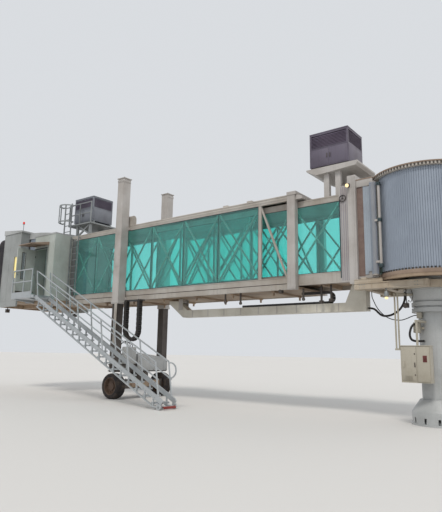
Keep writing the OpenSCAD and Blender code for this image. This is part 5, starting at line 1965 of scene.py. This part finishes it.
def makeCabCurtains(spec):
    low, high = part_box("cab_curtains")
    bm = bmesh.new()
    for a, b in spec["arcs"]:
        outline = curtainOutline(spec["radius"], math.radians(a), math.radians(b), spec)
        addRibbedSheet(bm, [(x + spec["axis"], y) for x, y in outline], low[2], high[2])
    solidify(bm, spec["slatWall"])
    obj = makePiece("cabSlats", bm, "slats", None, 40)
    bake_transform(obj)
    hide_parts("cab_curtains")


def makeCabRivets(spec):
    y0, y1 = spec["y"]
    bm = bmesh.new()
    for side in sides:
        for x in spec["columns"]:
            for k in range(spec["rows"]):
                z = spec["low"] + k * spec["step"]
                addRod(bm, (x, side * y0, z), (x, side * y1, z), 0.007, 8)
    makePiece("cabRivets", bm, "galvanised", "cab", 30)


def makeCabCamera(spec):
    bm = bmesh.new()
    addBlock(bm, *spec["near"], 0.012)
    addRod(bm, *spec["nearStem"], 0.02, 12)
    addRod(bm, *spec["hood"], 0.04, 20, 0.05)
    addBlock(bm, *spec["far"], 0.012)
    addRod(bm, *spec["farStem"], 0.02, 12)
    makePiece("cabCamera", bm, "darkSteel", "cab")


def makeBeacon(spec):
    bm = bmesh.new()
    addSpun(bm, spec["foot"], spec["mast"], 32)
    makePiece("beaconMast", bm, "galvanised", "cab")
    profile = list(spec["lensFoot"])
    for k in range(spec["lensRings"]):
        profile += [(reach, z + k * spec["lensStep"]) for reach, z in spec["lensRing"]]
    bm = bmesh.new()
    addSpun(bm, spec["foot"], profile + list(spec["lensTop"]), 36)
    obj = makePiece("beaconLens", bm, "lampRed", "cab", 50)
    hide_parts("cab_beacon")


canopy = {
    "pleats": 7,
    "pleatDepth": 0.085,
    "pleatColumns": 8,
    "start": 18.905,
    "end": 19.52,
    "thickness": 0.004,
    "foot": 4.3,
    "shoulder": 6.7,
    "top": 7.06,
    "reach": 1.96,
    "corner": 1.7,
    "sideSteps": 24,
    "cornerSteps": 9,
    "topSteps": 28,
    "bowInset": 0.032,
    "bowRadius": 0.013,
    "struts": (5.2, 6.2),
    "strutEnds": (18.9, 19.5),
    "strutDrop": 0.25,
    "strutY": 1.74,
}


# the arch from foot to foot, drawn in from the outer edge by inset
def archPath(spec, inset):
    reach, foot, top = spec["reach"] - inset, spec["foot"], spec["top"] - inset
    bendStart = spec["shoulder"] - inset * 0.4 - 0.12
    bendEnd = spec["corner"] - inset * 0.8 - 0.12
    count, turns, span = spec["sideSteps"], spec["cornerSteps"], spec["topSteps"]
    rise = [(-reach, foot + (bendStart - foot) * k / count) for k in range(count + 1)]
    a, b, c = Vector((-reach, bendStart)), Vector((-reach, top)), Vector((-bendEnd, top))
    for k in range(1, turns):
        t = k / turns
        rise.append(tuple(a * (1 - t) ** 2 + b * 2 * t * (1 - t) + c * t ** 2))
    level = [(2 * bendEnd * k / span - bendEnd, top) for k in range(span + 1)]
    return rise + level + [(-y, z) for y, z in reversed(rise)]


def makeCanopyFabric(spec):
    count = spec["pleats"] * spec["pleatColumns"]
    span = spec["topSteps"]
    firstTop = spec["sideSteps"] + spec["cornerSteps"]
    bm = bmesh.new()
    rows = []
    for j in range(count + 1):
        share = j / count
        x = spec["start"] + (spec["end"] - spec["start"]) * share
        fold = 0.5 - 0.5 * math.cos(fullTurn * spec["pleats"] * share)
        row = []
        for i, (y, z) in enumerate(archPath(spec, spec["pleatDepth"] * fold ** 0.8)):
            drop = fold * (0.012 * math.sin(i * 0.55 + j * 0.3) + 0.006 * math.sin(i * 1.9 + j * 0.9))
            slack = abs(drop)
            alongTop = min(max((i - firstTop) / span, 0), 1)
            sag = 0.02 * fold * math.sin(math.pi * alongTop) + slack * 0.3
            row.append(bm.verts.new((x + drop * 0.4, y - math.copysign(slack * 0.6, y), z - sag)))
        rows.append(row)
    for a, b in zip(rows, rows[1:]):
        for k in range(len(a) - 1):
            bm.faces.new((a[k], a[k + 1], b[k + 1], b[k]))
    area = sum(face.calc_area() for face in bm.faces)
    solidify(bm, spec["thickness"])
    obj = makePiece("canopyFabric", bm, "canopy", "cab", 60)
    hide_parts("cab_canopy")


def makeCanopyBows(spec):
    bm = bmesh.new()
    for k in range(1, spec["pleats"] + 1):
        x = spec["start"] + (spec["end"] - spec["start"]) * k / spec["pleats"] - 0.004
        arch = [Vector((x, y, z)) for y, z in archPath(spec, spec["bowInset"])]
        addTube(bm, arch, spec["bowRadius"], 10)
    start, end = spec["strutEnds"]
    for side in sides:
        y, outer = side * spec["strutY"], side * (spec["strutY"] + 0.19)
        for z in spec["struts"]:
            low = z - spec["strutDrop"]
            addRod(bm, (start, y, z), (end, y, low), 0.016, 12)
            addRod(bm, (end, y - side * 0.01, low), (end, outer, low), 0.012, 12)
    makePiece("canopyBows", bm, "darkSteel", "cab", 50)


buffer = {
    "x": 19.545,
    "inset": 0.02,
    "innerShare": (0.845, 0.868),  # across, up from the foot
    "foot": 4.31,
    "around": 16,
    "bulge": 0.05,
    "creaseDepth": 0.16,
    "creaseEvery": 8,
}


def softened(value, exponent):
    return math.copysign(abs(value) ** exponent, value)


def makeCanopyBuffer(spec):
    count, foot = spec["around"], spec["foot"]
    narrow, squat = spec["innerShare"]
    bm = bmesh.new()
    rings = []
    for i, (y, z) in enumerate(archPath(canopy, spec["inset"])):
        outer = Vector((0, y, z))
        inner = Vector((0, y * narrow, foot + (z - foot) * squat))
        middle, reach = (outer + inner) / 2, (outer - inner) / 2
        pinch = max(0.0, math.cos(fullTurn * i / spec["creaseEvery"])) ** 12
        crease = 1 - spec["creaseDepth"] * pinch
        ring = []
        for k in range(count):
            a = fullTurn * k / count
            swell = reach * softened(math.cos(a), 0.55) * (0.97 + 0.03 * crease)
            x = spec["x"] + spec["bulge"] * softened(math.sin(a), 0.7) * crease
            ring.append(bm.verts.new(middle + swell + Vector((x, 0, 0))))
        rings.append(ring)
    for a, b in zip(rings, rings[1:]):
        for k in range(count):
            bm.faces.new((a[k], a[(k + 1) % count], b[(k + 1) % count], b[k]))
    bm.faces.new(rings[0])
    bm.faces.new(rings[-1])
    obj = makePiece("canopyBuffer", bm, "canopy", "cab", 50)


makeCabCurtains(cabCurtains)
makeCover("cabGuidePosts", cabGuidePosts, "tunnel_b")
makeCover("cabStrips", cabStrips, "cab")
makeCabRivets(cabRivets)
makeCover("cabBumper", cabBumper, "cab")
makeCabCamera(cabCamera)
makeBeacon(beacon)
makeCanopyBows(canopy)
makeCanopyBuffer(buffer)
makeCanopyFabric(canopy)
print("cab done")


# stage and lights

stage = {
    "floor": 0.62,
    "floorWarmth": (1.0, 0.98, 0.95),
    "floorRadius": 520,
    "sky": (0.93, 0.96, 1.0, 1),
    "skyStrength": 0.75,
    "lampColour": (1.0, 0.96, 0.9),
}
# energy, then width and turn in degrees
lamps = {
    "sunLamp": (1.6, 14, (38, 0, 200)),
    "fillLamp": (0.5, 60, (60, 0, 330)),
}


def floorMaterial(name, level, warmth):
    material, tree, skin, where = startMaterial(name)
    cloud = noise(tree, stretched(tree, where), 0.08, 3.0, 0.5)
    light = tuple(level * w for w in warmth) + (1,)
    tree.links.new(mixColours(tree, cloud, darker(light, 0.97), light), skin.inputs["Base Color"])
    skin.inputs["Roughness"].default_value = 0.85
    skin.inputs["Specular IOR Level"].default_value = 0.2
    return material


def makeFloor(spec):
    middle = Vector(((solidBounds[0][0] + solidBounds[1][0]) / 2, 0, 0))
    bm = bmesh.new()
    bmesh.ops.create_circle(bm, cap_ends=True, segments=96, radius=spec["floorRadius"],
                            matrix=Matrix.Translation(middle))
    mesh = bpy.data.meshes.new("studioFloor")
    bm.to_mesh(mesh)
    bm.free()
    mesh.materials.append(floorMaterial("studioFloor", spec["floor"], spec["floorWarmth"]))
    floor = bpy.data.objects.new("studioFloor", mesh)
    bpy.context.collection.objects.link(floor)


def makeSky(spec):
    world = bpy.data.worlds.new("softSky")
    bpy.context.scene.world = world
    world.use_nodes = True
    back = world.node_tree.nodes["Background"]
    back.inputs["Color"].default_value = spec["sky"]
    back.inputs["Strength"].default_value = spec["skyStrength"]


def makeLamps(spec):
    for name, (energy, width, turn) in lamps.items():
        data = bpy.data.lights.new(name, "SUN")
        data.energy = energy
        data.angle = math.radians(width)
        data.color = spec["lampColour"]
        lamp = bpy.data.objects.new(name, data)
        lamp.rotation_euler = tuple(math.radians(v) for v in turn)
        bpy.context.collection.objects.link(lamp)


makeFloor(stage)
makeSky(stage)
makeLamps(stage)
